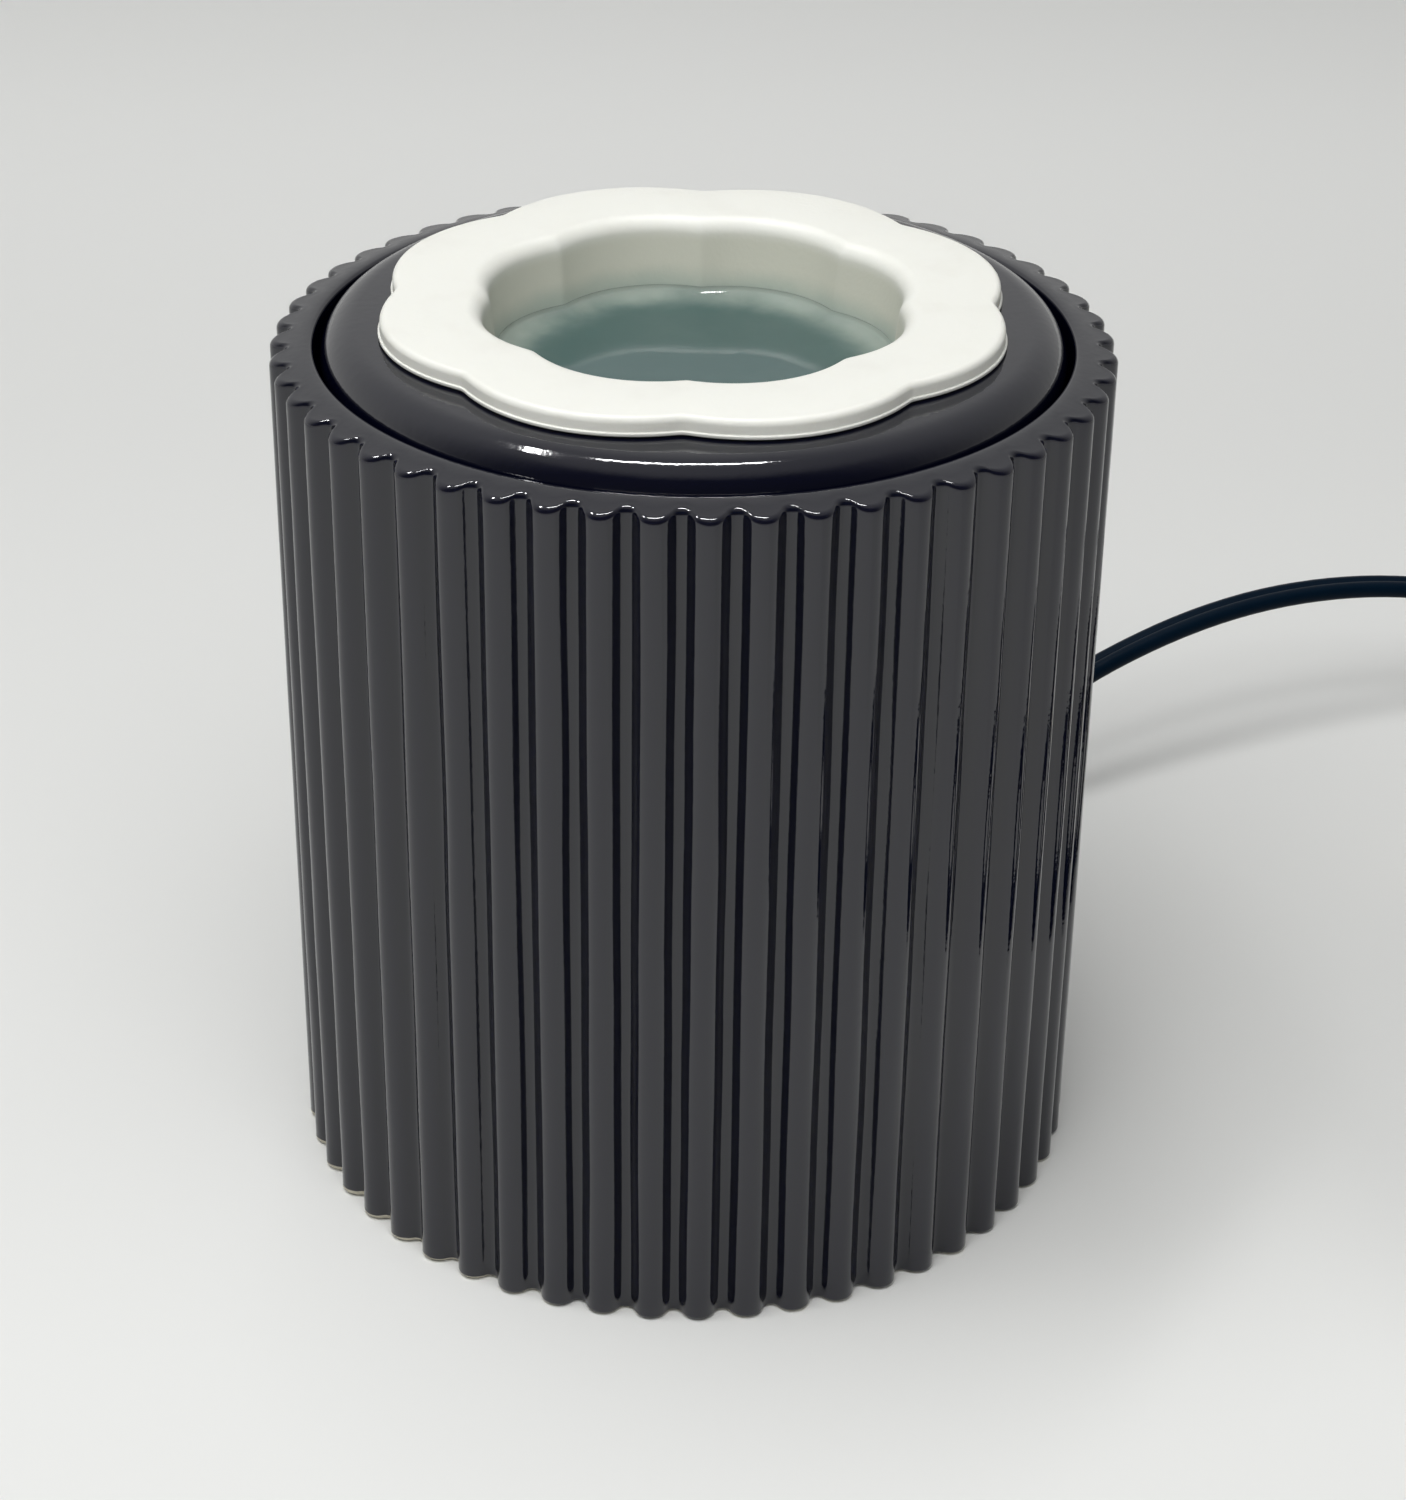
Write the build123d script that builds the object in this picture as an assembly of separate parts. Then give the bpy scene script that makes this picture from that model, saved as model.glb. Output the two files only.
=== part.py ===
from build123d import *
import os
from math import atan2, cos, degrees, hypot, pi, radians, sin, tan

# Electric wax-melt warmer: a fluted ceramic body on a hot plate base, a lift-out dish,
# a soft lobed liner with its wax, and a flat lead with an in-line switch and a plug.
# Millimetres, +Z up. The origin is on the table, under the middle of the body, and -Y is the front.

os.makedirs("parts", exist_ok=True)

# ---------------------------------------------------------------- driving dimensions

# clearances
seat_gap = 0.25          # under whatever lifts out
side_gap = 0.35          # round a part that drops into another
screw_gap = 0.1          # shank in its clearance hole
running_gap = 0.05       # pivot in its bearing
cut_over = 1.0           # cutters run this far past a face
edge_rounding = 0.6      # small outside edges

# ceramic body
body_radius = 62.5       # over the rib crests
rim_height = 134.9       # table to the plain rim
foot_lift = 0.4          # the rubber feet hold the clay this far off the table
rib_count = 52
rib_phase = 2.2          # first crest, degrees round from the front
rib_depth = 2.4
flute_radius = 1.4       # hollow of a flute
rim_fall = 0.7           # the rim slopes down this much to the crests
rim_level_width = 1.6    # level part of the rim, beside the recess
shoulder_rounding = 2.4  # crest into rim
toe_rounding = 0.5       # crest into foot
crest_spare = 0.15       # the roundings are cut this far outside the crests
rim_wall = 6.5           # crests to the recess that takes the dish
lip_rounding = 0.7
deck_thickness = 6.0     # shelf that carries the hot plate
deck_hole_radius = 32.0
side_wall = 8.5          # crests to the room below the deck
foot_wall = 6.0          # crests to the seat of the base cover
rebate_height = 3.6
cavity_rounding = 6.8    # room below the deck, into the deck

# dish
crown_rise = 3.1         # dish crown above the rim
dish_height = 26.3
dish_gap = 1.0           # ring of air between dish and recess
brim_thickness = 7.0
brim_edge_rounding = 5.4
brim_low_rounding = 1.4
mouth_rounding = 2.4
mouth_gap = 2.6          # round the liner's well
bowl_wall = 4.2
bowl_floor = 4.5
bowl_draft = 3.6         # the bowl narrows this much to its floor
bowl_rounding = 3.0
dish_foot_inset = 3.0
dish_foot_rounding = 1.5
dish_heel_rounding = 2.0

# soft liner
lobe_count = 8
liner_turn = -1.8        # the liner sits this many degrees round
lobe_inset = 7.8         # in from the edge of the dish
notch_depth = 3.0
notch_rounding = 1.4
flange_thickness = 2.8
well_radius = 32.0
well_crease_radius = 30.2
well_draft = 2.6
well_wall = 1.8
well_roll = 2.0          # rolled mouth of the well
well_roll_depth = 1.6
wax_drop = 11.75         # flange top to wax
liner_lift_clearance = 0.3

# heater
plate_thickness = 3.0
plate_radius = 37.0
gasket_thickness = 1.0
gasket_width = 4.6
spigot_depth = 2.5
boss_radius = 6.5
boss_end_gap = 0.2       # boss short of the backing plate
plate_edge_rounding = 0.8
element_thickness = 3.0
element_radius = 28.0
tab_turn = 20.0          # terminal tabs each side of the back
tab_width = 3.0
tab_thickness = 1.0
insulation_thickness = 3.5
insulation_overlap = 0.5 # past the element
backing_thickness = 1.0
backing_radius = 29.5
core_gap = 1.0           # element and insulation round the boss
bridge_thickness = 1.5
bridge_width = 16.0
bridge_foot_inset = 11.0 # from the cavity wall
bridge_foot_length = 7.0
bridge_web_half = 26.0
bridge_drop = 8.0
fuse_radius = 2.0
fuse_length = 11.0
fuse_offset = 19.0
clip_thickness = 0.8
clip_width = 5.0
clip_half = 6.5
rivet_radius = 0.9
rivet_head_radius = 1.45

# M4 rod and its fasteners
rod_radius = 2.0
nut_flats = 7.0
nut_height = 3.2
washer_radius = 5.0
washer_thickness = 1.0
rod_spare = 1.0          # thread past the last nut
rod_end_gap = 0.5        # thread short of the bottom of its bore

# base cover and feet
cover_thickness = 2.4
dimple_radius = 9.0
dimple_rise = 6.0
dimple_rounding = 1.0
foot_pad_radius = 6.0
foot_inset = 14.5        # foot centres in from the cover's seat
foot_count = 4
foot_stem_radius = 2.2
foot_head_radius = 3.2
foot_head_height = 1.6

# lead
cord_width = 5.6
cord_thickness = 3.3
cord_angle = 58.0        # exit, degrees from +X
exit_height = 14.0
spot_face_depth = 1.1    # flat cut below the flutes round the exit
relief_collar_radius = 6.6
relief_collar_thickness = 2.0
relief_collar_rounding = 0.8
relief_neck_radius = 4.4
relief_root_radius = 4.9
relief_tip_radius = 3.6
relief_length = 24.0
relief_flange_thickness = 2.2
relief_flange_gap = 1.2  # the round wall curves away from the flat flange
clamp_inset = 15.0       # cord clamp in from the cavity wall
clamp_length = 20.0
clamp_depth = 7.0
clamp_height = 5.6
clamp_screw_spread = 14.0
lead_bare_end = 2.0      # jacket left past the clamp
small_screw_radius = 1.3
small_head_radius = 2.4
small_head_height = 1.5
screw_end_gap = 0.5      # screws short of the bottom of their bores
pillar_floor = 1.0       # left below the clamp screws
crimp_radius = 3.0
crimp_length = 12.0
crimp_height = 40.0
crimp_distance = 22.0
crimp_spread = 10.0
wire_radius = 0.9
core_rise = 8.0          # the parted cores turn up this far above the lead
core_bend = 1.8
fuse_lead_reach = 7.0    # straight wire each side of the fuse
fuse_wire_bend = 2.0
live_wire_drop = 16.0
live_wire_bend = 3.0
neutral_turn_drop = 6.0
neutral_wire_drop = 24.0
neutral_wire_bend = 4.0

# in-line switch, its long way along the lead
switch_x = 203.0
switch_y = 40.0
switch_length = 64.0
switch_width = 24.0
switch_height = 15.0
switch_entry_height = 7.0
switch_wall = 1.8
switch_corner = 9.0
rocker_length = 20.0
rocker_width = 12.0
rocker_proud = 1.6
rocker_tilt = 8.0
rocker_pin_radius = 1.2
rocker_pin_reach = 1.5
rocker_pivot_drop = 3.4  # pivot below the top of the housing
lug_thickness = 1.8
lug_length = 5.0
rocker_slot_spare = 1.6  # length of the opening past the rocker
rocker_skirt = 0.5       # rocker ends below the pivot
rocker_belly = 2.0       # rocker middle below the pivot
rocker_end_trim = 0.9    # rounding at the rocker's ends
switch_low_rounding = 1.4
switch_top_rounding = 2.2
switch_screw_inset = 11.0
switch_screw_sink = 0.2  # heads below the underside
switch_screw_floor = 1.0 # left above the screws
screw_boss_radius = 2.8
screw_boss_gap = 2.0     # boss centres in from the inner wall
terminal_distance = 15.0
terminal_length = 7.0
terminal_width = 5.0
terminal_height = 4.0
terminal_offset = 2.0    # terminals this far outside the core
switch_core_gap = 1.0    # cores short of the ends of the housing

# plug
plug_length = 30.0
plug_width = 25.0
plug_thickness = 16.0
plug_tail = 14.0
plug_tail_wall = 1.2     # round the lead where it enters
plug_neck_width = 15.5
plug_neck_thickness = 12.0
plug_shoulder = 8.0      # neck to full width
plug_rounding = 2.5
plug_angle = 72.0
blade_spacing = 12.7
blade_thickness = 1.5
blade_width = 6.35
blade_length = 17.0
blade_root = 8.0
blade_chamfer = 1.2

# coil of the spare lead
coil_x = 167.0
coil_y = -40.0
coil_mid_radius = 30.0
coil_pitch = 6.1         # side by side
coil_rows = 3
coil_layers = 2
coil_spare = 0.4
coil_low_rounding = 0.8
coil_top_rounding = 1.2
tie_width = 8.0
tie_thickness = 0.6

# route of the lead, from the strain relief to the switch, to the coil, and on to the plug
cord_lead_route = [
    (45.04, 72.08, 14.0),
    (54.58, 87.34, 14.0),
    (73.0, 104.0, 21.2),
    (103.0, 122.6, 27.8),
    (132.0, 135.2, 27.3),
    (158.5, 140.0, 23.0),
    (181.0, 131.5, 16.5),
    (196.5, 113.0, 10.0),
    (203.0, 92.0, 7.0),
    (203.0, 72.0, 7.0),
]
cord_tail_route = [
    (203.0, 8.0, 7.0),
    (203.0, -6.0, 7.0),
    (202.9, -23.0, 3.3),
    (202.2, -38.0, 1.9),
]
cord_end_route = [
    (131.4, -38.0, 5.0),
    (131.6, -22.0, 6.1),
    (135.0, -4.0, 8.0),
    (140.6, 13.2, 8.0),
]

# ---------------------------------------------------------------- derived places

recess_radius = body_radius - rim_wall
cavity_radius = body_radius - side_wall
rebate_radius = body_radius - foot_wall

crown_z = rim_height + crown_rise
dish_base_z = crown_z - dish_height
plate_top_z = dish_base_z - seat_gap
plate_low_z = plate_top_z - plate_thickness
deck_top_z = plate_low_z - gasket_thickness
deck_low_z = deck_top_z - deck_thickness
dish_radius = recess_radius - dish_gap
lobe_radius = dish_radius - lobe_inset
notch_radius = lobe_radius - notch_depth
bowl_floor_z = dish_base_z + bowl_floor
flange_low_z = crown_z + seat_gap
flange_top_z = flange_low_z + flange_thickness
liner_low_z = bowl_floor_z + liner_lift_clearance
wax_z = flange_top_z - wax_drop
bowl_radius = well_radius + well_wall + mouth_gap

spigot_z = plate_low_z - spigot_depth
element_z = spigot_z - element_thickness
insulation_z = element_z - insulation_thickness
backing_z = insulation_z - backing_thickness
backing_nut_z = backing_z - nut_height
bridge_web_z = deck_low_z - bridge_drop
bridge_low_z = bridge_web_z - bridge_thickness
bridge_nut_z = bridge_low_z - washer_thickness - nut_height
rod_top_z = plate_low_z - rod_end_gap

bridge_foot_outer = cavity_radius - bridge_foot_inset
bridge_foot_inner = bridge_foot_outer - bridge_foot_length
foot_circle_radius = rebate_radius - foot_inset
clamp_distance = cavity_radius - clamp_inset

cover_top_z = foot_lift + rebate_height
cover_low_z = cover_top_z - cover_thickness
dimple_low_z = cover_low_z + dimple_rise
base_nut_z = dimple_low_z - washer_thickness - nut_height
rod_low_z = base_nut_z - rod_spare

spot_face_radius = body_radius - rib_depth - spot_face_depth
relief_out_radius = spot_face_radius + relief_collar_thickness + relief_length
relief_in_radius = cavity_radius - relief_flange_gap - relief_flange_thickness
out_way = Vector(cos(radians(cord_angle)), sin(radians(cord_angle)), 0)
side_way = Vector(-out_way.Y, out_way.X, 0)

switch_place = Location((switch_x, switch_y, 0), (0, 0, -90))
switch_pivot_z = switch_height - rocker_pivot_drop

# ---------------------------------------------------------------- helpers


def turned(outline):
    """Solid of revolution about Z from (radius, height, corner rounding) points."""
    points = [(radius, 0, height) for radius, height, _ in outline]
    roundings = [rounding for _, _, rounding in outline]
    line = FilletPolyline(*points, radius=roundings, close=True)
    return revolve(Face(Wire(line.edges())), Axis.Z)


def disc(radius, low, high, hole=0.0):
    """Plain or holed disc between two heights."""
    solid = Pos(0, 0, low) * Cylinder(radius, high - low, align=(Align.CENTER, Align.CENTER, Align.MIN))
    if hole:
        solid -= Pos(0, 0, low) * Cylinder(hole, high - low, align=(Align.CENTER, Align.CENTER, Align.MIN))
    return solid


def post(x, y, radius, low, high):
    """Upright round bar."""
    return Pos(x, y, 0) * disc(radius, low, high)


def block(x, y, low, length, width, height):
    """Upright box, centred on x and y and standing on low."""
    return Pos(x, y, low) * Box(length, width, height, align=(Align.CENTER, Align.CENTER, Align.MIN))


def nut(low):
    """Hexagon nut on the centre rod."""
    outer_radius = nut_flats / 2 / cos(pi / 6)
    hexagon = Pos(0, 0, low) * extrude(RegularPolygon(outer_radius, 6), nut_height)
    return hexagon - disc(rod_radius + running_gap, low, low + nut_height)


def washer(low, outer_radius):
    """Plain washer on the centre rod."""
    return disc(outer_radius, low, low + washer_thickness, rod_radius + screw_gap)


def out_point(distance, across, height):
    """Point at a distance from the axis along the lead's way out, and across it."""
    place = out_way * distance + side_way * across
    return Vector(place.X, place.Y, height)


def corner_radii(points):
    """Radius of the arc at each inner point: 0.45 of the shorter run over the tangent of half the turn."""
    radii = []
    for before, here, after in zip(points, points[1:], points[2:]):
        arriving = Vector(*here) - Vector(*before)
        leaving = Vector(*after) - Vector(*here)
        half_turn = radians(arriving.get_angle(leaving)) / 2
        radii.append(0.45 * min(arriving.length, leaving.length) / tan(half_turn))
    return radii


def flat_cord(name, points):
    """Twin flat lead along a route, its wide way level."""
    radii = corner_radii(points)
    path = FilletPolyline(*points, radius=radii)
    start = Vector(*points[0])
    heading = (Vector(*points[1]) - start).normalized()
    across = Vector(-heading.Y, heading.X, 0).normalized()
    section = Plane(origin=start, x_dir=across, z_dir=heading) * SlotOverall(cord_width, cord_thickness)
    solid = sweep(section, path=path)
    expected = section.area * path.length
    print(f"{name}: radii {[round(radius, 1) for radius in radii]}, length {path.length:.1f},",
          f"volume {solid.volume:.1f} against {expected:.1f}")
    return solid


def wire(points, bend):
    """Single insulated wire through its points, with equal bends."""
    path = FilletPolyline(*points, radius=[bend] * (len(points) - 2)) if len(points) > 2 else Line(*points)
    heading = (Vector(*points[1]) - Vector(*points[0])).normalized()
    section = Plane(origin=Vector(*points[0]), z_dir=heading) * Circle(wire_radius)
    return sweep(section, path=path)


# ---------------------------------------------------------------- ceramic body


def rib_wave():
    """Closed wave of rounded ribs and rounded flutes, tangent to each other."""
    half_pitch = pi / rib_count
    flute_centre = body_radius - rib_depth + flute_radius
    across = flute_centre * cos(half_pitch)
    crest_rounding = ((body_radius ** 2 + flute_centre ** 2 - 2 * body_radius * across - flute_radius ** 2)
                      / (2 * (flute_radius + body_radius - across)))
    crest_centre = body_radius - crest_rounding
    share = crest_rounding / (crest_rounding + flute_radius)
    join_x = crest_centre + share * (across - crest_centre)
    join_y = share * flute_centre * sin(half_pitch)
    join_radius = hypot(join_x, join_y)
    join_turn = atan2(join_y, join_x)

    def at(radius, turn):
        return (radius * cos(turn), radius * sin(turn), 0)

    arcs = []
    for rib in range(rib_count):
        middle = radians(rib_phase - 90) + 2 * half_pitch * rib
        start = at(join_radius, middle - join_turn)
        end = at(join_radius, middle + join_turn)
        following = at(join_radius, middle + 2 * half_pitch - join_turn)
        arcs.append(ThreePointArc(start, at(body_radius, middle), end).edge())
        arcs.append(ThreePointArc(end, at(body_radius - rib_depth, middle + half_pitch), following).edge())
    return Face(Wire(arcs))


def make_body_shell():
    """Fluted pot with a dish recess on top, a deck for the hot plate and an open foot."""
    clay_height = rim_height - foot_lift
    fluted = Pos(0, 0, foot_lift) * extrude(rib_wave(), clay_height)
    envelope = turned([
        (0, foot_lift, 0),
        (body_radius + crest_spare, foot_lift, toe_rounding),
        (body_radius + crest_spare, rim_height - rim_fall, shoulder_rounding),
        (recess_radius + rim_level_width, rim_height, shoulder_rounding),
        (0, rim_height, 0),
    ])
    shell = fluted & envelope
    above = rim_height + body_radius
    shell -= turned([
        (0, deck_top_z, 0),
        (recess_radius, deck_top_z, 2 * lip_rounding),
        (recess_radius, above, 0),
        (0, above, 0),
    ])
    shell -= disc(deck_hole_radius, deck_low_z - cut_over, deck_top_z + cut_over)
    shell -= turned([
        (0, -cut_over, 0),
        (rebate_radius, -cut_over, 0),
        (rebate_radius, cover_top_z, 0),
        (cavity_radius, cover_top_z, 0),
        (cavity_radius, deck_low_z, cavity_rounding),
        (0, deck_low_z, 0),
    ])
    lip = shell.edges().filter_by(GeomType.CIRCLE).filter_by(
        lambda edge: abs(edge.radius - recess_radius) < 0.01 and abs(edge.center().Z - rim_height) < 0.01)
    shell = fillet(lip, lip_rounding)
    outwards = Plane(origin=(0, 0, exit_height), z_dir=out_way)
    hole = outwards * Cylinder(relief_neck_radius + screw_gap, 2 * body_radius,
                               align=(Align.CENTER, Align.CENTER, Align.MIN))
    spot_face = outwards.offset(spot_face_radius) * Cylinder(
        relief_collar_radius + side_gap, body_radius, align=(Align.CENTER, Align.CENTER, Align.MIN))
    return shell - hole - spot_face


def make_base_cover():
    """Moulded disc in the foot, with a dimple for the nut and a pillar for the cord clamp."""
    dimple_outer = dimple_radius + cover_thickness
    cover = turned([
        (rod_radius + screw_gap, dimple_low_z, 0),
        (dimple_radius, dimple_low_z, 0),
        (dimple_radius, cover_low_z, 0),
        (rebate_radius - side_gap, cover_low_z, edge_rounding),
        (rebate_radius - side_gap, cover_top_z, 0),
        (dimple_outer, cover_top_z, 0),
        (dimple_outer, dimple_low_z + cover_thickness, dimple_rounding),
        (rod_radius + screw_gap, dimple_low_z + cover_thickness, 0),
    ])
    pillar_top = exit_height - cord_thickness / 2
    pillar_height = pillar_top - cover_top_z
    along = Location(tuple(out_point(clamp_distance, 0, 0)), (0, 0, cord_angle))
    cover += along * block(0, 0, cover_top_z, clamp_depth, clamp_length, pillar_height)
    for x, y in foot_places():
        cover -= post(x, y, foot_stem_radius + screw_gap, cover_low_z - cut_over, cover_top_z + cut_over)
    for place in clamp_screw_places():
        cover -= post(place.X, place.Y, small_screw_radius, cover_top_z + pillar_floor, pillar_top + cut_over)
    return cover


def foot_places():
    """Centres of the rubber feet, the first pair astride the cord clamp."""
    turns = [radians(cord_angle + 360 / foot_count * (index + 0.5)) for index in range(foot_count)]
    return [(foot_circle_radius * cos(turn), foot_circle_radius * sin(turn)) for turn in turns]


def make_rubber_feet():
    """Push-in feet: pad below the cover, stem through it, retaining head above."""
    foot = turned([
        (0, 0, 0),
        (foot_pad_radius, 0, edge_rounding),
        (foot_pad_radius, cover_low_z, 0),
        (foot_stem_radius, cover_low_z, 0),
        (foot_stem_radius, cover_top_z, 0),
        (foot_head_radius, cover_top_z, 0),
        (foot_stem_radius, cover_top_z + foot_head_height, 0),
        (0, cover_top_z + foot_head_height, 0),
    ])
    return Compound([Pos(x, y, 0) * foot for x, y in foot_places()])


# ---------------------------------------------------------------- dish, liner and wax


def make_dish():
    """Brimmed ceramic bowl that hangs its brim over the recess and stands on the hot plate."""
    bowl_outer = bowl_radius + bowl_wall
    brim_low_z = crown_z - brim_thickness
    return turned([
        (0, dish_base_z, 0),
        (bowl_outer - bowl_draft - dish_foot_inset, dish_base_z, dish_foot_rounding),
        (bowl_outer - bowl_draft, dish_base_z + dish_foot_inset, dish_heel_rounding),
        (bowl_outer, brim_low_z, bowl_rounding),
        (dish_radius, brim_low_z, brim_low_rounding),
        (dish_radius, crown_z, brim_edge_rounding),
        (bowl_radius, crown_z, mouth_rounding),
        (bowl_radius - bowl_draft, bowl_floor_z, bowl_rounding),
        (0, bowl_floor_z, 0),
    ])


def lobed_face(outer, inner, height, rounding=0.0):
    """Scalloped outline: one arc for each lobe, meeting in notches."""
    step = 2 * pi / lobe_count
    first = radians(liner_turn - 90)
    arcs = []
    for lobe in range(lobe_count):
        turns = [first + step * (lobe + part) for part in (0, 0.5, 1)]
        ends = [(radius * cos(turn), radius * sin(turn), 0)
                for radius, turn in zip((inner, outer, inner), turns)]
        arcs.append(ThreePointArc(*ends).edge())
    face = Face(Wire(arcs))
    if rounding:
        face = face.fillet_2d(rounding, face.vertices())
    return Pos(0, 0, height) * face


def well_cavity(top_z):
    """Inside of the liner's well, from its floor to a height, with drafted lobed walls."""
    floor_z = liner_low_z + well_wall
    depth = flange_top_z - floor_z

    def section(height):
        draft = well_draft * (flange_top_z - height) / depth
        return lobed_face(well_radius - draft, well_crease_radius - draft, height)

    return loft([section(floor_z), section(top_z)], ruled=True)


def make_silicone_liner():
    """Eight-lobed flange with a soft well hanging below it."""
    flange = extrude(lobed_face(lobe_radius, notch_radius, flange_low_z, notch_rounding), flange_thickness)
    outer_top = lobed_face(well_radius + well_wall, well_crease_radius + well_wall, flange_low_z)
    outer_low = lobed_face(well_radius + well_wall - well_draft, well_crease_radius + well_wall - well_draft,
                           liner_low_z)
    liner = flange + loft([outer_low, outer_top], ruled=True)
    liner -= well_cavity(flange_top_z)
    rolled_low = lobed_face(well_radius, well_crease_radius, flange_top_z - well_roll_depth)
    rolled_top = lobed_face(well_radius + well_roll, well_crease_radius + well_roll, flange_top_z)
    return liner - loft([rolled_low, rolled_top], ruled=True)


def make_wax_pool():
    """Melted wax that fills the well to its level."""
    return well_cavity(wax_z)


# ---------------------------------------------------------------- heater under the dish


def make_heater_plate():
    """Aluminium hot plate with a locating spigot and a threaded boss."""
    solid = turned([
        (0, insulation_z + boss_end_gap, 0),
        (boss_radius, insulation_z + boss_end_gap, 0),
        (boss_radius, spigot_z, 0),
        (deck_hole_radius - side_gap, spigot_z, 0),
        (deck_hole_radius - side_gap, plate_low_z, 0),
        (plate_radius, plate_low_z, 0),
        (plate_radius, plate_top_z, plate_edge_rounding),
        (0, plate_top_z, 0),
    ])
    return solid - disc(rod_radius + running_gap, insulation_z, rod_top_z)


def make_plate_gasket():
    """Silicone ring between the hot plate and the ceramic deck."""
    return disc(plate_radius - side_gap, deck_top_z, plate_low_z, plate_radius - gasket_width)


def tab_places():
    """Where the two element tabs hand over to their wires."""
    reach = deck_hole_radius - wire_radius - side_gap
    return [(reach * cos(radians(90 + turn)), reach * sin(radians(90 + turn))) for turn in (tab_turn, -tab_turn)]


def make_heating_element():
    """Mica heating ring with two terminal tabs."""
    ring = disc(element_radius, element_z, spigot_z, boss_radius + core_gap)
    tab_root = element_radius - tab_width / 2
    tab_length = deck_hole_radius - side_gap - tab_root
    for turn in (tab_turn, -tab_turn):
        tab = block(tab_root + tab_length / 2, 0, element_z + tab_thickness, tab_length, tab_width, tab_thickness)
        ring += Rot(0, 0, 90 + turn) * tab
    return ring


def make_insulation_disc():
    """Fibre ring under the element."""
    return disc(element_radius + insulation_overlap, insulation_z, element_z, boss_radius + core_gap)


def rivet_places():
    """Rivets each side of the thermal fuse."""
    reach = clip_half - 2 * rivet_radius
    return [(0, fuse_offset - reach), (0, fuse_offset + reach)]


def make_backing_plate():
    """Steel disc that the rod's upper nut presses up against the stack."""
    plate = disc(backing_radius, backing_z, insulation_z, rod_radius + screw_gap)
    for x, y in rivet_places():
        plate -= post(x, y, rivet_radius, backing_z - cut_over, insulation_z + cut_over)
    return plate


def make_bridge_bracket():
    """Hat-section strap across the underside of the deck."""
    middle = bridge_thickness / 2
    centre_line = FilletPolyline(
        (-bridge_foot_outer, 0, deck_low_z - middle),
        (-bridge_foot_inner, 0, deck_low_z - middle),
        (-bridge_web_half, 0, bridge_web_z - middle),
        (bridge_web_half, 0, bridge_web_z - middle),
        (bridge_foot_inner, 0, deck_low_z - middle),
        (bridge_foot_outer, 0, deck_low_z - middle),
        radius=2 * bridge_thickness,
    )
    section = Plane.YZ * Rectangle(bridge_width, bridge_thickness)
    start = Vector(-bridge_foot_outer, 0, deck_low_z - middle)
    strap = sweep(Pos(start.X, start.Y, start.Z) * section, path=centre_line)
    return strap - disc(rod_radius + screw_gap, bridge_low_z - cut_over, bridge_web_z + cut_over)


def make_tie_rod():
    """Threaded rod from the hot plate's boss to the base cover."""
    return disc(rod_radius, rod_low_z, rod_top_z)


def fuse_height():
    """Centre height of the thermal fuse, up against the backing plate."""
    return backing_z - fuse_radius


def make_thermal_fuse():
    """Thermal cut-off lying under the backing plate."""
    return Pos(0, fuse_offset, fuse_height()) * Rot(0, 90, 0) * Cylinder(fuse_radius, fuse_length)


def make_fuse_clip():
    """Saddle that holds the fuse against the backing plate."""
    ears = block(0, fuse_offset, backing_z - clip_thickness, clip_width, 2 * clip_half, clip_thickness)
    saddle = Pos(0, fuse_offset, fuse_height()) * Rot(0, 90, 0) * Cylinder(fuse_radius + clip_thickness, clip_width)
    clip = ears + saddle
    clip -= Pos(0, fuse_offset, fuse_height()) * Rot(0, 90, 0) * Cylinder(fuse_radius, clip_width + cut_over)
    clip -= block(0, fuse_offset, fuse_height(), clip_width + cut_over, 2 * fuse_radius, fuse_radius)
    clip -= block(0, fuse_offset, backing_z, clip_width + cut_over, 2 * clip_half, fuse_radius)
    for x, y in rivet_places():
        clip -= post(x, y, rivet_radius, backing_z - 2 * clip_thickness, backing_z + cut_over)
    return clip


def make_clip_rivets():
    """Two small rivets through the clip and the backing plate."""
    rivets = []
    for x, y in rivet_places():
        shank = post(x, y, rivet_radius, backing_z - clip_thickness, insulation_z)
        head = post(x, y, rivet_head_radius, backing_z - 2 * clip_thickness, backing_z - clip_thickness)
        rivets.append(shank + head)
    return Compound(rivets)


# ---------------------------------------------------------------- wiring inside the body


def crimp_places():
    """Crimp connectors side by side in front of the cord clamp."""
    return [out_point(crimp_distance, side * crimp_spread / 2, 0) for side in (1, -1)]


def make_crimp_connectors():
    """Closed-end connectors that join the lead's cores to the heater wires."""
    return Compound([post(place.X, place.Y, crimp_radius, crimp_height, crimp_height + crimp_length)
                     for place in crimp_places()])


def make_fuse_jumper():
    """Wire from one element tab to the thermal fuse."""
    tab_x, tab_y = tab_places()[0]
    return wire([
        (tab_x, tab_y, element_z + tab_thickness),
        (tab_x, tab_y, fuse_height()),
        (-fuse_length / 2 - fuse_lead_reach, fuse_offset, fuse_height()),
        (-fuse_length / 2, fuse_offset, fuse_height()),
    ], fuse_wire_bend)


def make_live_wire():
    """Wire from the thermal fuse down to its connector."""
    end = crimp_places()[0]
    return wire([
        (fuse_length / 2, fuse_offset, fuse_height()),
        (fuse_length / 2 + fuse_lead_reach, fuse_offset, fuse_height()),
        (end.X, end.Y, fuse_height() - live_wire_drop),
        (end.X, end.Y, crimp_height + crimp_length),
    ], live_wire_bend)


def make_neutral_wire():
    """Wire from the other element tab down to its connector."""
    tab_x, tab_y = tab_places()[1]
    end = crimp_places()[1]
    return wire([
        (tab_x, tab_y, element_z + tab_thickness),
        (tab_x, tab_y, fuse_height() - neutral_turn_drop),
        (end.X, end.Y, fuse_height() - neutral_wire_drop),
        (end.X, end.Y, crimp_height + crimp_length),
    ], neutral_wire_bend)


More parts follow.
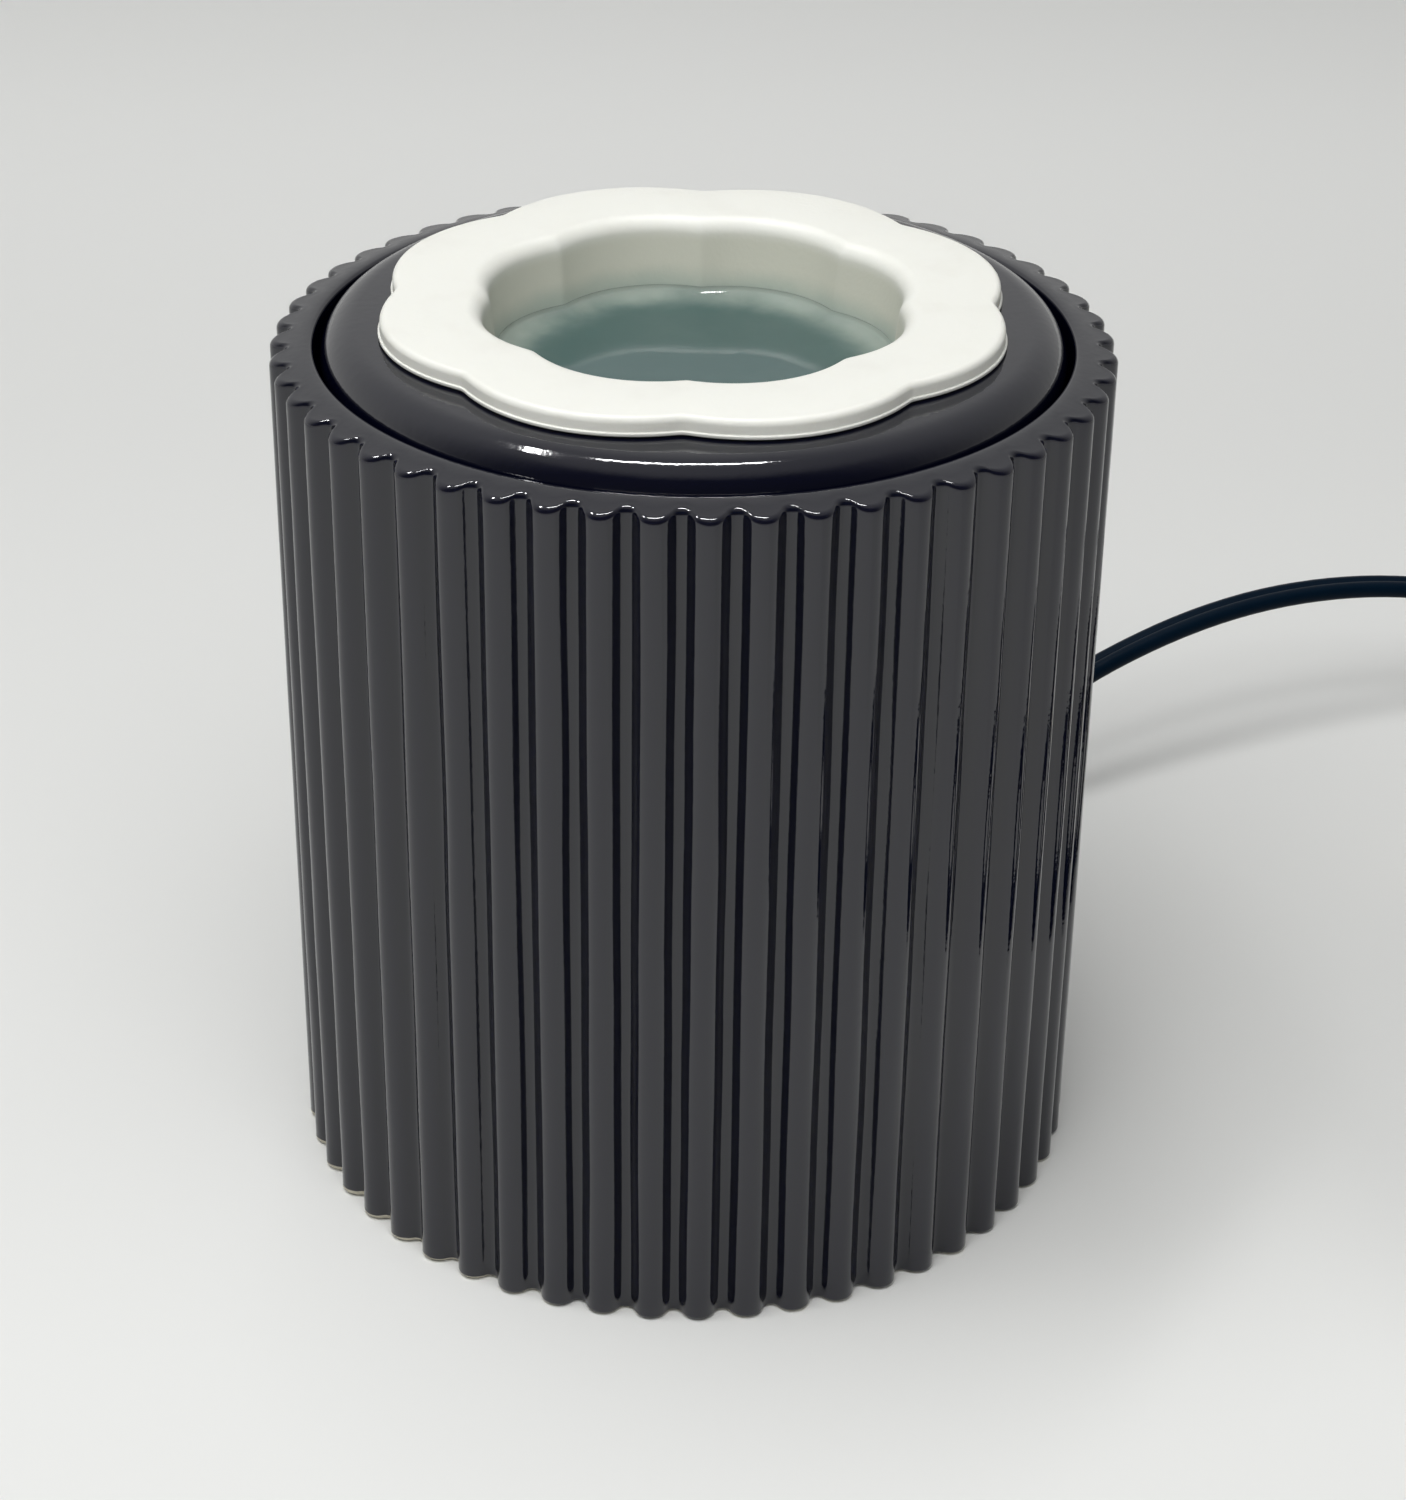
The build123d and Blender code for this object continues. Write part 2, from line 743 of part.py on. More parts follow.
def make_inner_lead():
    """Flat lead inside the body, from the strain relief through the clamp."""
    start = out_point(relief_in_radius, 0, exit_height)
    section = Plane(origin=start, x_dir=side_way, z_dir=-out_way) * SlotOverall(cord_width, cord_thickness)
    return extrude(section, relief_in_radius - clamp_distance + clamp_depth / 2 + lead_bare_end)


def make_lead_cores():
    """The lead's two cores, parted and led up into the connectors."""
    split = clamp_distance - clamp_depth / 2 - lead_bare_end
    cores = []
    for side, place in zip((1, -1), crimp_places()):
        across = side * (cord_width - cord_thickness) / 2
        start = out_point(split, across, exit_height)
        parting = out_point(split - lead_bare_end, across, exit_height)
        rising = (place.X, place.Y, exit_height + core_rise)
        crimped = (place.X, place.Y, crimp_height)
        cores.append(wire([tuple(start), tuple(parting), rising, crimped], core_bend))
    return Compound(cores)


def make_strain_relief():
    """Moulded bush in the wall: inner flange, neck, collar and tapered sleeve."""
    wall_in = relief_in_radius + relief_flange_thickness
    collar_out = spot_face_radius + relief_collar_thickness
    bush = turned([
        (0, relief_in_radius, 0),
        (relief_collar_radius, relief_in_radius, edge_rounding),
        (relief_collar_radius, wall_in, 0),
        (relief_neck_radius, wall_in, 0),
        (relief_neck_radius, spot_face_radius, 0),
        (relief_collar_radius, spot_face_radius, 0),
        (relief_collar_radius, collar_out, relief_collar_rounding),
        (relief_root_radius, collar_out, 0),
        (relief_tip_radius, relief_out_radius, edge_rounding),
        (0, relief_out_radius, 0),
    ])
    return Plane(origin=(0, 0, exit_height), z_dir=out_way) * bush


def clamp_screw_places():
    """Clamp screws each side of the lead."""
    return [out_point(clamp_distance, side * clamp_screw_spread / 2, 0) for side in (1, -1)]


def make_cord_clamp():
    """Bar that holds the lead down on the pillar."""
    bed_z = exit_height - cord_thickness / 2
    along = Location(tuple(out_point(clamp_distance, 0, 0)), (0, 0, cord_angle))
    bar = along * block(0, 0, bed_z, clamp_depth, clamp_length, clamp_height)
    bar -= along * block(0, 0, bed_z - cut_over, clamp_depth + cut_over, cord_width, cord_thickness + cut_over)
    for place in clamp_screw_places():
        bar -= post(place.X, place.Y, small_screw_radius + screw_gap, bed_z - cut_over,
                    bed_z + clamp_height + cut_over)
    return bar


def make_clamp_screws():
    """Two pan-head screws through the clamp into the pillar."""
    bed_z = exit_height - cord_thickness / 2
    head_z = bed_z + clamp_height
    screws = []
    for place in clamp_screw_places():
        shank = post(place.X, place.Y, small_screw_radius, cover_top_z + pillar_floor + screw_end_gap, head_z)
        head = post(place.X, place.Y, small_head_radius, head_z, head_z + small_head_height)
        screws.append(shank + head)
    return Compound(screws)


# ---------------------------------------------------------------- in-line switch


def switch_outline(inset):
    """Plan of the switch housing, drawn in by a wall."""
    return RectangleRounded(switch_length - 2 * inset, switch_width - 2 * inset, switch_corner - inset)


def switch_screw_places():
    """Screws at opposite corners of the switch."""
    reach = switch_length / 2 - switch_screw_inset
    across = switch_width / 2 - switch_wall - screw_boss_gap
    return [(-reach, across), (reach, -across)]


def cord_cut():
    """Channel for the lead through both ends of the housing."""
    section = Plane(origin=(-switch_length, 0, switch_entry_height), x_dir=(0, 1, 0), z_dir=(1, 0, 0))
    return extrude(section * SlotOverall(cord_width, cord_thickness), 2 * switch_length)


def make_switch_lower():
    """Lower half of the switch housing, with sleeves for the screws."""
    shell = extrude(switch_outline(0), switch_entry_height)
    bottom = shell.edges().group_by(Axis.Z)[0]
    shell = fillet(bottom, switch_low_rounding)
    inner = Pos(0, 0, switch_wall) * extrude(switch_outline(switch_wall), switch_entry_height)
    shell -= inner
    for x, y in switch_screw_places():
        shell += post(x, y, screw_boss_radius, switch_wall, switch_entry_height)
        shell -= post(x, y, small_screw_radius + screw_gap, -cut_over, switch_entry_height + cut_over)
        shell -= post(x, y, small_head_radius + screw_gap, -cut_over, small_head_height)
    return shell - cord_cut()


def make_switch_upper():
    """Upper half of the switch housing, with the rocker's opening and bearing lugs."""
    rise = switch_height - switch_entry_height
    shell = Pos(0, 0, switch_entry_height) * extrude(switch_outline(0), rise)
    top = shell.edges().group_by(Axis.Z)[-1]
    shell = fillet(top, switch_top_rounding)
    room = extrude(switch_outline(switch_wall), rise - switch_wall + cut_over)
    shell -= Pos(0, 0, switch_entry_height - cut_over) * room
    shell -= block(0, 0, switch_entry_height, rocker_length + rocker_slot_spare,
                   rocker_width + 2 * side_gap, switch_height)
    lug_low = switch_pivot_z - 2 * rocker_pin_radius
    lug_rise = switch_height - switch_wall - lug_low
    lug_y = rocker_width / 2 + side_gap + lug_thickness / 2
    for side in (1, -1):
        shell += block(0, side * lug_y, lug_low, lug_length, lug_thickness, lug_rise)
    bore_length = 2 * (lug_y + lug_thickness / 2 + cut_over)
    shell -= Pos(0, 0, switch_pivot_z) * Rot(90, 0, 0) * Cylinder(rocker_pin_radius + running_gap, bore_length)
    for x, y in switch_screw_places():
        shell += post(x, y, screw_boss_radius, switch_entry_height, switch_height - switch_wall)
        shell -= post(x, y, small_screw_radius, switch_entry_height - cut_over,
                      switch_height - switch_wall - switch_screw_floor)
    return shell - cord_cut()


def make_switch_rocker():
    """Two-way rocker on its pivot pins, resting with one end down."""
    half = rocker_length / 2
    top_z = switch_height + rocker_proud
    rise = top_z - switch_pivot_z
    profile = make_face(Polyline(
        (-half, switch_pivot_z - rocker_skirt),
        (-half, top_z),
        (0, top_z - half * tan(radians(rocker_tilt))),
        (half, top_z),
        (half, switch_pivot_z - rocker_skirt),
        (0, switch_pivot_z - rocker_belly),
        close=True,
    ))
    rocker = extrude(Plane.XZ.offset(-rocker_width / 2) * profile, rocker_width)
    reach = hypot(half, rise) - rocker_end_trim
    rocker &= Pos(0, 0, switch_pivot_z) * Rot(90, 0, 0) * Cylinder(reach, rocker_width)
    pin_length = rocker_width + 2 * (side_gap + rocker_pin_reach)
    rocker += Pos(0, 0, switch_pivot_z) * Rot(90, 0, 0) * Cylinder(rocker_pin_radius, pin_length)
    pivot = Axis((0, 0, switch_pivot_z), (0, 1, 0))
    return rocker.rotate(pivot, rocker_tilt)


def make_switch_terminals():
    """Brass blocks on the switched core."""
    across = (cord_width - cord_thickness) / 2
    middle = across + terminal_offset
    return Compound([block(side * terminal_distance, middle, switch_wall, terminal_length, terminal_width,
                           terminal_height) for side in (1, -1)])


def make_switch_wires():
    """One core straight through, the other cut and led to the terminals."""
    across = (cord_width - cord_thickness) / 2
    reach = switch_length / 2 - switch_core_gap
    along = Plane(origin=(-reach, -across, switch_entry_height), z_dir=(1, 0, 0))
    through = extrude(along * Circle(wire_radius), 2 * reach)
    first = extrude(Plane(origin=(-reach, across, switch_entry_height), z_dir=(1, 0, 0)) * Circle(wire_radius),
                    reach - terminal_distance)
    second = extrude(Plane(origin=(reach, across, switch_entry_height), z_dir=(-1, 0, 0)) * Circle(wire_radius),
                     reach - terminal_distance)
    return Compound([through, first, second])


def make_switch_screws():
    """Two self-tapping screws from below."""
    screws = []
    for x, y in switch_screw_places():
        shank = post(x, y, small_screw_radius, small_head_height,
                     switch_height - switch_wall - switch_screw_floor - screw_end_gap)
        head = post(x, y, small_head_radius, switch_screw_sink, small_head_height)
        screws.append(shank + head)
    return Compound(screws)


# ---------------------------------------------------------------- plug and coil


def plug_place():
    """Frame at the plug's cord entry, with X along the blades."""
    return Location(cord_end_route[-1], (0, 0, plug_angle))


def make_plug_body():
    """Moulded plug with a tapered tail, lying on its broad side."""
    tail_section = Plane(origin=(0, 0, 0), x_dir=(0, 1, 0), z_dir=(1, 0, 0)) * RectangleRounded(
        cord_width + 2 * plug_tail_wall, cord_thickness + 2 * plug_tail_wall, 1.5 * plug_tail_wall)
    root_section = Plane(origin=(plug_tail, 0, 0), x_dir=(0, 1, 0), z_dir=(1, 0, 0)) * RectangleRounded(
        plug_neck_width, plug_neck_thickness, plug_rounding)
    tail = loft([tail_section, root_section])
    outline = make_face(Polyline(
        (plug_tail, -plug_neck_width / 2),
        (plug_tail + plug_shoulder, -plug_width / 2),
        (plug_tail + plug_length, -plug_width / 2),
        (plug_tail + plug_length, plug_width / 2),
        (plug_tail + plug_shoulder, plug_width / 2),
        (plug_tail, plug_neck_width / 2),
        close=True,
    ))
    body = Pos(0, 0, -plug_thickness / 2) * extrude(outline, plug_thickness)
    levels = body.edges().group_by(Axis.Z)
    body = fillet(levels[0] + levels[-1], plug_rounding)
    plug = body + tail
    for side in (1, -1):
        plug -= Pos(plug_tail + plug_length, side * blade_spacing / 2, 0) * Box(
            2 * blade_root, blade_thickness, blade_width)
    return plug_place() * plug


def make_plug_blades():
    """Two flat blades, set in the plug."""
    blades = []
    for side in (1, -1):
        start = plug_tail + plug_length - blade_root
        blade = Pos(start, side * blade_spacing / 2, 0) * Box(
            blade_root + blade_length, blade_thickness, blade_width, align=(Align.MIN, Align.CENTER, Align.CENTER))
        tip = blade.edges().filter_by(Axis.Y).sort_by(Axis.X)[-2:]
        blades.append(plug_place() * chamfer(tip, blade_chamfer))
    return Compound(blades)


def coil_bounds():
    """Inner radius, outer radius and height of the coil."""
    half_spread = coil_pitch * (coil_rows - 1) / 2 + cord_width / 2 + coil_spare
    return coil_mid_radius - half_spread, coil_mid_radius + half_spread, coil_layers * cord_thickness + coil_spare


def make_coil_tie():
    """Flat strap round the coil, opposite the plug."""
    inner, outer, height = coil_bounds()
    length = outer - inner + 2 * tie_thickness
    middle = (inner + outer) / 2
    strap = block(middle, 0, 0, length, tie_width, height + tie_thickness)
    strap -= block(middle, 0, tie_thickness, outer - inner, tie_width + cut_over, height - tie_thickness)
    return Pos(coil_x, coil_y, 0) * Rot(0, 0, -90) * strap


def make_cord_coil():
    """Outer shape of the wound spare length."""
    inner, outer, height = coil_bounds()
    ring = turned([
        (inner, 0, coil_low_rounding),
        (outer, 0, coil_low_rounding),
        (outer, height, coil_top_rounding),
        (inner, height, coil_top_rounding),
    ])
    return Pos(coil_x, coil_y, 0) * ring - make_coil_tie()


# ---------------------------------------------------------------- every node

nodes = {
    "body_shell": make_body_shell,
    "base_cover": make_base_cover,
    "rubber_feet": make_rubber_feet,
    "dish": make_dish,
    "silicone_liner": make_silicone_liner,
    "wax_pool": make_wax_pool,
    "heater_plate": make_heater_plate,
    "plate_gasket": make_plate_gasket,
    "heating_element": make_heating_element,
    "insulation_disc": make_insulation_disc,
    "backing_plate": make_backing_plate,
    "backing_nut": lambda: nut(backing_nut_z),
    "bridge_bracket": make_bridge_bracket,
    "bridge_washer": lambda: washer(bridge_low_z - washer_thickness, washer_radius),
    "bridge_nut": lambda: nut(bridge_nut_z),
    "tie_rod": make_tie_rod,
    "base_washer": lambda: washer(dimple_low_z - washer_thickness, washer_radius),
    "base_nut": lambda: nut(base_nut_z),
    "thermal_fuse": make_thermal_fuse,
    "fuse_clip": make_fuse_clip,
    "clip_rivets": make_clip_rivets,
    "fuse_jumper": make_fuse_jumper,
    "live_wire": make_live_wire,
    "neutral_wire": make_neutral_wire,
    "crimp_connectors": make_crimp_connectors,
    "lead_cores": make_lead_cores,
    "inner_lead": make_inner_lead,
    "cord_clamp": make_cord_clamp,
    "clamp_screws": make_clamp_screws,
    "strain_relief": make_strain_relief,
    "cord_lead": lambda: flat_cord("cord_lead", cord_lead_route),
    "cord_tail": lambda: flat_cord("cord_tail", cord_tail_route),
    "cord_coil": make_cord_coil,
    "coil_tie": make_coil_tie,
    "cord_end": lambda: flat_cord("cord_end", cord_end_route),
    "switch_lower": lambda: switch_place * make_switch_lower(),
    "switch_upper": lambda: switch_place * make_switch_upper(),
    "switch_rocker": lambda: switch_place * make_switch_rocker(),
    "switch_terminals": lambda: switch_place * make_switch_terminals(),
    "switch_wires": lambda: switch_place * make_switch_wires(),
    "switch_screws": lambda: switch_place * make_switch_screws(),
    "plug_body": make_plug_body,
    "plug_blades": make_plug_blades,
}

for name, make in nodes.items():
    export_step(make(), f"parts/{name}.step")
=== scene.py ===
import bmesh
import bpy
from math import atan2, cos, hypot, pi, radians, sin, sqrt, tan
from mathutils import Matrix, Vector, noise


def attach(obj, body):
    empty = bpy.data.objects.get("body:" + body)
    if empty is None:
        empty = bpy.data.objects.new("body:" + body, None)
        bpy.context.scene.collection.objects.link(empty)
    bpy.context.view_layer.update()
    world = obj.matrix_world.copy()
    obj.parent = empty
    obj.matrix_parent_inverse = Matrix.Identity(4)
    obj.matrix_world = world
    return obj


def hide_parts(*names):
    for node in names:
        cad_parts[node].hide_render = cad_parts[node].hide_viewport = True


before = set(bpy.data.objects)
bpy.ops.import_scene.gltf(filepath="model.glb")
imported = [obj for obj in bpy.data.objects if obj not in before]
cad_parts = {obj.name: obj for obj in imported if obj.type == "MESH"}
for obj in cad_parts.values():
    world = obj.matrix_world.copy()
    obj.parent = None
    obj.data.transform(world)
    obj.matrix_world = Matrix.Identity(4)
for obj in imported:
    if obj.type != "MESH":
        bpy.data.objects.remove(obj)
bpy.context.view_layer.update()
print("frame loaded:", len(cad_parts), "nodes")

millimetre = 0.001  # pieces are shaped in millimetres and scaled once
onRing = 0.02       # millimetres within which a vertex counts as on a turned ring


# camera

camera = {
    "lens": 79.722,
    "place": (0.0, -456.6, 323.48),
    "pitch": 29.5995,  # degrees below level
    "yaw": -0.26975,
    "roll": 0.78772,
}


def makeCamera(values):
    data = bpy.data.cameras.new("camera")
    data.lens = values["lens"]
    data.sensor_width = 36
    data.clip_start = 0.01
    data.clip_end = 30
    shown = bpy.data.objects.new("camera", data)
    bpy.context.scene.collection.objects.link(shown)
    shown.location = Vector(values["place"]) * millimetre
    turn = (Matrix.Rotation(radians(values["yaw"]), 4, "Z")
            @ Matrix.Rotation(radians(90 - values["pitch"]), 4, "X")
            @ Matrix.Rotation(radians(values["roll"]), 4, "Z"))
    shown.rotation_euler = turn.to_euler()
    bpy.context.scene.camera = shown


makeCamera(camera)
print("camera placed")


# mesh helpers

def finishMesh(bm, name, scale=millimetre):  # a bmesh becomes a piece with its place in its mesh
    bmesh.ops.scale(bm, vec=(scale, scale, scale), verts=bm.verts)
    data = bpy.data.meshes.new(name)
    bm.to_mesh(data)
    bm.free()
    for face in data.polygons:
        face.use_smooth = True
    piece = bpy.data.objects.new(name, data)
    bpy.context.scene.collection.objects.link(piece)
    return piece


def ringEdges(bm, radius, height):  # edges of one turned ring
    def lies(vert):
        return abs(hypot(vert.co.x, vert.co.y) - radius) < onRing and abs(vert.co.z - height) < onRing
    return [edge for edge in bm.edges if lies(edge.verts[0]) and lies(edge.verts[1])]


def turnedForm(corners, steps, segments=6, closed=False, startTurn=0.0):
    # corners are (radius, height, rounding); each ring is beveled to its rounding once it is spun
    bm = bmesh.new()
    verts = [bm.verts.new((radius * cos(startTurn), radius * sin(startTurn), height))
             for radius, height, rounding in corners]
    pairs = list(zip(verts, verts[1:])) + ([(verts[-1], verts[0])] if closed else [])
    edges = [bm.edges.new(pair) for pair in pairs]
    bmesh.ops.spin(bm, geom=verts + edges, cent=(0, 0, 0), axis=(0, 0, 1), angle=2 * pi, steps=steps,
                   use_merge=True, use_duplicate=False)
    bmesh.ops.remove_doubles(bm, verts=bm.verts, dist=0.001)
    bmesh.ops.recalc_face_normals(bm, faces=bm.faces)
    count = len(corners)
    for index, (radius, height, rounding) in enumerate(corners):
        if not rounding:
            continue
        before, after = corners[index - 1], corners[(index + 1) % count]
        arriving = Vector((radius - before[0], height - before[1]))
        leaving = Vector((after[0] - radius, after[1] - height))
        offset = rounding * tan(arriving.angle(leaving) / 2)
        bmesh.ops.bevel(bm, geom=ringEdges(bm, radius, height), offset=offset, offset_type="OFFSET",
                        segments=segments, affect="EDGES", profile=0.5, material=-1)
    return bm


def eased(value, low, high):  # 0 below low, 1 above high, smooth between
    share = min(1.0, max(0.0, (value - low) / (high - low)))
    return share * share * (3 - 2 * share)


# lead: points of the route in millimetres

lead = {
    "width": 5.6,
    "thickness": 3.3,
    "waist": 2.3,         # thickness at the groove between the cores
    "grooveRise": 0.3,    # from the groove up to a core
    "capPoints": 15,      # points round each core's outer side
    "capStep": 18,        # degrees between them
    "toSwitch": [(45.04, 72.08, 14.0), (54.58, 87.34, 14.0), (73.0, 104.0, 22.0), (103.0, 122.6, 27.8),
                 (132.0, 135.2, 27.3), (158.5, 140.0, 23.0), (181.0, 131.5, 16.5), (196.5, 113.0, 10.0),
                 (203.0, 92.0, 7.0), (203.0, 72.0, 7.0)],
    "toCoil": [(203.0, 8.0, 7.0), (203.0, -6.0, 7.0), (202.9, -23.0, 3.3), (202.2, -38.0, 1.9)],
    "toPlug": [(131.4, -38.0, 5.0), (131.6, -22.0, 6.1), (135.0, -4.0, 8.0), (140.6, 13.2, 8.0)],
    "rolls": {2: -11, 4: 3, 5: 3},  # degrees that the lead is turned about its own line, by point
    "coilCentre": (167.0, -40.0),
    "coilRows": (36.1, 30.0, 23.9),
    "coilHeights": (1.7, 5.0),
    "coilTurned": 1980,   # degrees wound in all
    "coilStep": 20,       # degrees between points
    "rowMoves": ((300, 1), (660, 2), (1260, 1), (1620, 0)),  # where it moves over, and to which row
    "layerMove": 960,
    "moveTurned": 60,     # degrees that a move takes
    "length": 1.43,       # metres
}


def coilRoute(values):
    rows, taken = values["coilRows"], values["moveTurned"]
    low, high = values["coilHeights"]
    centreX, centreY = values["coilCentre"]
    points = []
    for turned in range(values["coilStep"], values["coilTurned"], values["coilStep"]):
        row, radius = 0, rows[0]
        for start, newRow in values["rowMoves"]:
            radius += (rows[newRow] - rows[row]) * eased(turned, start, start + taken)
            row = newRow
        height = low + (high - low) * eased(turned, values["layerMove"], values["layerMove"] + taken)
        turn = -radians(turned)
        points.append((centreX + radius * cos(turn), centreY + radius * sin(turn), height))
    return points


def routeCurve(name, points, rolls):  # one open NURBS spline in metres, rolled at the numbered points
    data = bpy.data.curves.new(name, "CURVE")
    data.dimensions = "3D"
    data.twist_mode = "Z_UP"
    data.resolution_u = 8
    spline = data.splines.new("NURBS")
    spline.points.add(len(points) - 1)
    for point, place in zip(spline.points, points):
        point.co = (*(Vector(place) * millimetre), 1)
    for index, roll in rolls.items():
        spline.points[index].tilt = radians(roll)
    spline.order_u = 3
    spline.use_endpoint_u = True
    curve = bpy.data.objects.new(name, data)
    bpy.context.scene.collection.objects.link(curve)
    return curve


def leadSection(values):  # closed outline of the two joined cores
    half = values["thickness"] / 2
    apart = values["width"] / 2 - half
    low, rise = values["waist"] / 2, values["grooveRise"]
    outline = []
    for side in (1, -1):
        for index in range(values["capPoints"]):
            turn = radians(values["capStep"] * (index - values["capPoints"] // 2))
            x = side * (apart + half * cos(turn))
            y = side * half * sin(turn)
            if x * side < apart and abs(y) < low + rise:
                y = (low + rise * abs(x) / apart) * (1 if y > 0 else -1)
            outline.append((x, y))
    data = bpy.data.curves.new("leadSection", "CURVE")
    data.dimensions = "2D"
    spline = data.splines.new("POLY")
    spline.points.add(len(outline) - 1)
    for point, (x, y) in zip(spline.points, outline):
        point.co = (x * millimetre, y * millimetre, 0, 1)
    spline.use_cyclic_u = True
    section = bpy.data.objects.new("leadSection", data)
    bpy.context.scene.collection.objects.link(section)
    return section


def meshOf(curve):
    bpy.context.view_layer.update()
    graph = bpy.context.evaluated_depsgraph_get()
    return bpy.data.meshes.new_from_object(curve.evaluated_get(graph), depsgraph=graph)


def makeLead(values):
    route = values["toSwitch"] + values["toCoil"] + coilRoute(values) + values["toPlug"]
    curve = routeCurve("leadRoute", route, values["rolls"])
    line = meshOf(curve)
    path = [tuple(vert.co) for vert in line.vertices]
    section = leadSection(values)
    curve.data.bevel_mode = "OBJECT"
    curve.data.bevel_object = section
    curve.data.use_fill_caps = True
    tube = meshOf(curve)
    tube.name = "lead"
    for face in tube.polygons:
        face.use_smooth = True
    piece = bpy.data.objects.new("lead", tube)
    bpy.context.scene.collection.objects.link(piece)
    bpy.data.objects.remove(curve)
    bpy.data.objects.remove(section)
    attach(piece, "warmer")
    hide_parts("cord_lead", "cord_tail", "cord_coil", "cord_end")
    return piece, path


leadPiece, leadPath = makeLead(lead)
leadRun = sum((Vector(b) - Vector(a)).length for a, b in zip(leadPath, leadPath[1:]))
print("lead made:", round(leadRun, 3), "m,", len(leadPath), "points,", len(leadPiece.data.polygons), "faces")


# fluted pot

pot = {
    "crestRadius": 62.5,
    "rimHeight": 134.9,
    "footHeight": 0.4,
    "ribCount": 52,
    "firstCrest": 2.2,        # degrees round from the front
    "ribDepth": 2.4,
    "fluteRounding": 1.4,
    "stepsPerRib": 16,
    "wallCuts": 46,           # rings between the shoulder and the toe
    "levelRadius": 57.6,      # the rim is level this far, then falls to the crests
    "rimFall": 0.95,
    "shoulder": (1.1, 1.1),   # rounding of the top edge at a crest and in a flute
    "toe": (0.5, 0.4),        # the same at the foot
    "recessRadius": 56.0,
    "lipRounding": 0.7,
    "recessRounding": 1.8,
    "deckTop": 107.45,
    "deckLow": 101.45,
    "deckHole": 32.0,
    "deckRounding": 0.8,
    "cavityRadius": 54.0,
    "cavityRounding": 6.8,
    "seatRadius": 56.5,
    "seatHeight": 4.0,
    "seatRounding": 0.3,
    "footRounding": 0.5,
    "unevenness": 0.05,       # hand-poured waviness
    "unevenWaves": (9, 16),   # waves round the pot, and millimetres up it to a wave
    "wander": 0.16,           # how far a rib strays sideways
    "wanderWaves": (21, 26),
    "steadyFoot": 6,          # millimetres above the foot over which the waviness begins
    "exitTurn": 58.0,
    "exitHeight": 14.0,
    "exitFlat": 59.0,         # cut face round the lead's exit
    "exitFlatRadius": 6.95,
    "exitBlend": 1,           # from the cut face back to the ribs
}


def ribCurve(values):  # the rib's circle and the flute's circle, tangent to each other
    halfPitch = pi / values["ribCount"]
    crest, flute = values["crestRadius"], values["fluteRounding"]
    fluteCentre = crest - values["ribDepth"] + flute
    across = fluteCentre * cos(halfPitch)
    crestRounding = ((crest ** 2 + fluteCentre ** 2 - 2 * crest * across - flute ** 2)
                     / (2 * (flute + crest - across)))
    crestCentre = crest - crestRounding
    joinTurn = atan2(fluteCentre * sin(halfPitch), across - crestCentre)
    crestShare = crestRounding / (crestRounding + flute)

    def at(share):  # 0 on the crest, 1 in the flute
        if share < crestShare:
            turn = joinTurn * share / crestShare
            return crestCentre + crestRounding * cos(turn), crestRounding * sin(turn)
        turn = joinTurn + (halfPitch - joinTurn) * (share - crestShare) / (1 - crestShare)
        return (fluteCentre * cos(halfPitch) - flute * cos(turn),
                fluteCentre * sin(halfPitch) - flute * sin(turn))

    return at


def flutePot(bm, values):  # turns the plain outer wall into ribs
    crest, level = values["crestRadius"], values["levelRadius"]
    top, foot = values["rimHeight"], values["footHeight"]
    crestShoulder, fluteShoulder = values["shoulder"]
    crestToe, fluteToe = values["toe"]
    curve = ribCurve(values)
    pitch = 2 * pi / values["ribCount"]
    first = radians(values["firstCrest"] - 90)
    land = crest - crestShoulder
    slack = 0.001
    evenRound, evenUp = values["unevenWaves"]
    wanderRound, wanderUp = values["wanderWaves"]
    for vert in bm.verts:
        radius, height = hypot(vert.co.x, vert.co.y), vert.co.z
        if radius < level + 0.01:
            continue
        turn = (atan2(vert.co.y, vert.co.x) - first) / pitch
        rib = round(turn)
        alongX, alongY = curve(min(1.0, abs(turn - rib) * 2))
        wall = hypot(alongX, alongY)
        deep = (crest - wall) / values["ribDepth"]
        shoulder = crestShoulder + (fluteShoulder - crestShoulder) * deep
        toe = crestToe + (fluteToe - crestToe) * deep
        edge = wall - shoulder
        edgeHeight = top - values["rimFall"] * (edge - level) / (crest - level)
        if height > top - slack and radius < land + slack:
            along = (radius - level) / (land - level)
            newRadius = level + (edge - level) * along
            newHeight = top + (edgeHeight - top) * along
        elif height > top - crestShoulder - slack:
            newRadius = edge + shoulder * (radius - land) / crestShoulder
            newHeight = edgeHeight - shoulder * (top - height) / crestShoulder
        elif height < foot + crestToe + slack:
            newRadius = wall - toe * (crest - radius) / crestToe
            newHeight = foot + toe * (height - foot) / crestToe
        else:
            along = (height - foot - crestToe) / (top - crestShoulder - foot - crestToe)
            newRadius = wall
            newHeight = foot + toe + along * (edgeHeight - shoulder - foot - toe)
        side = 1 if turn > rib else -1
        angle = first + rib * pitch + side * atan2(alongY, alongX) * (newRadius > level)
        uneven = Vector((cos(angle) * evenRound, sin(angle) * evenRound, newHeight / evenUp))
        stray = Vector((cos(angle) * wanderRound, sin(angle) * wanderRound, newHeight / wanderUp))
        newRadius -= (values["unevenness"] * (1 + noise.noise(uneven))
                      * eased(newHeight, foot, foot + values["steadyFoot"]))
        angle += values["wander"] / crest * noise.noise(stray)
        vert.co = (newRadius * cos(angle), newRadius * sin(angle), newHeight)


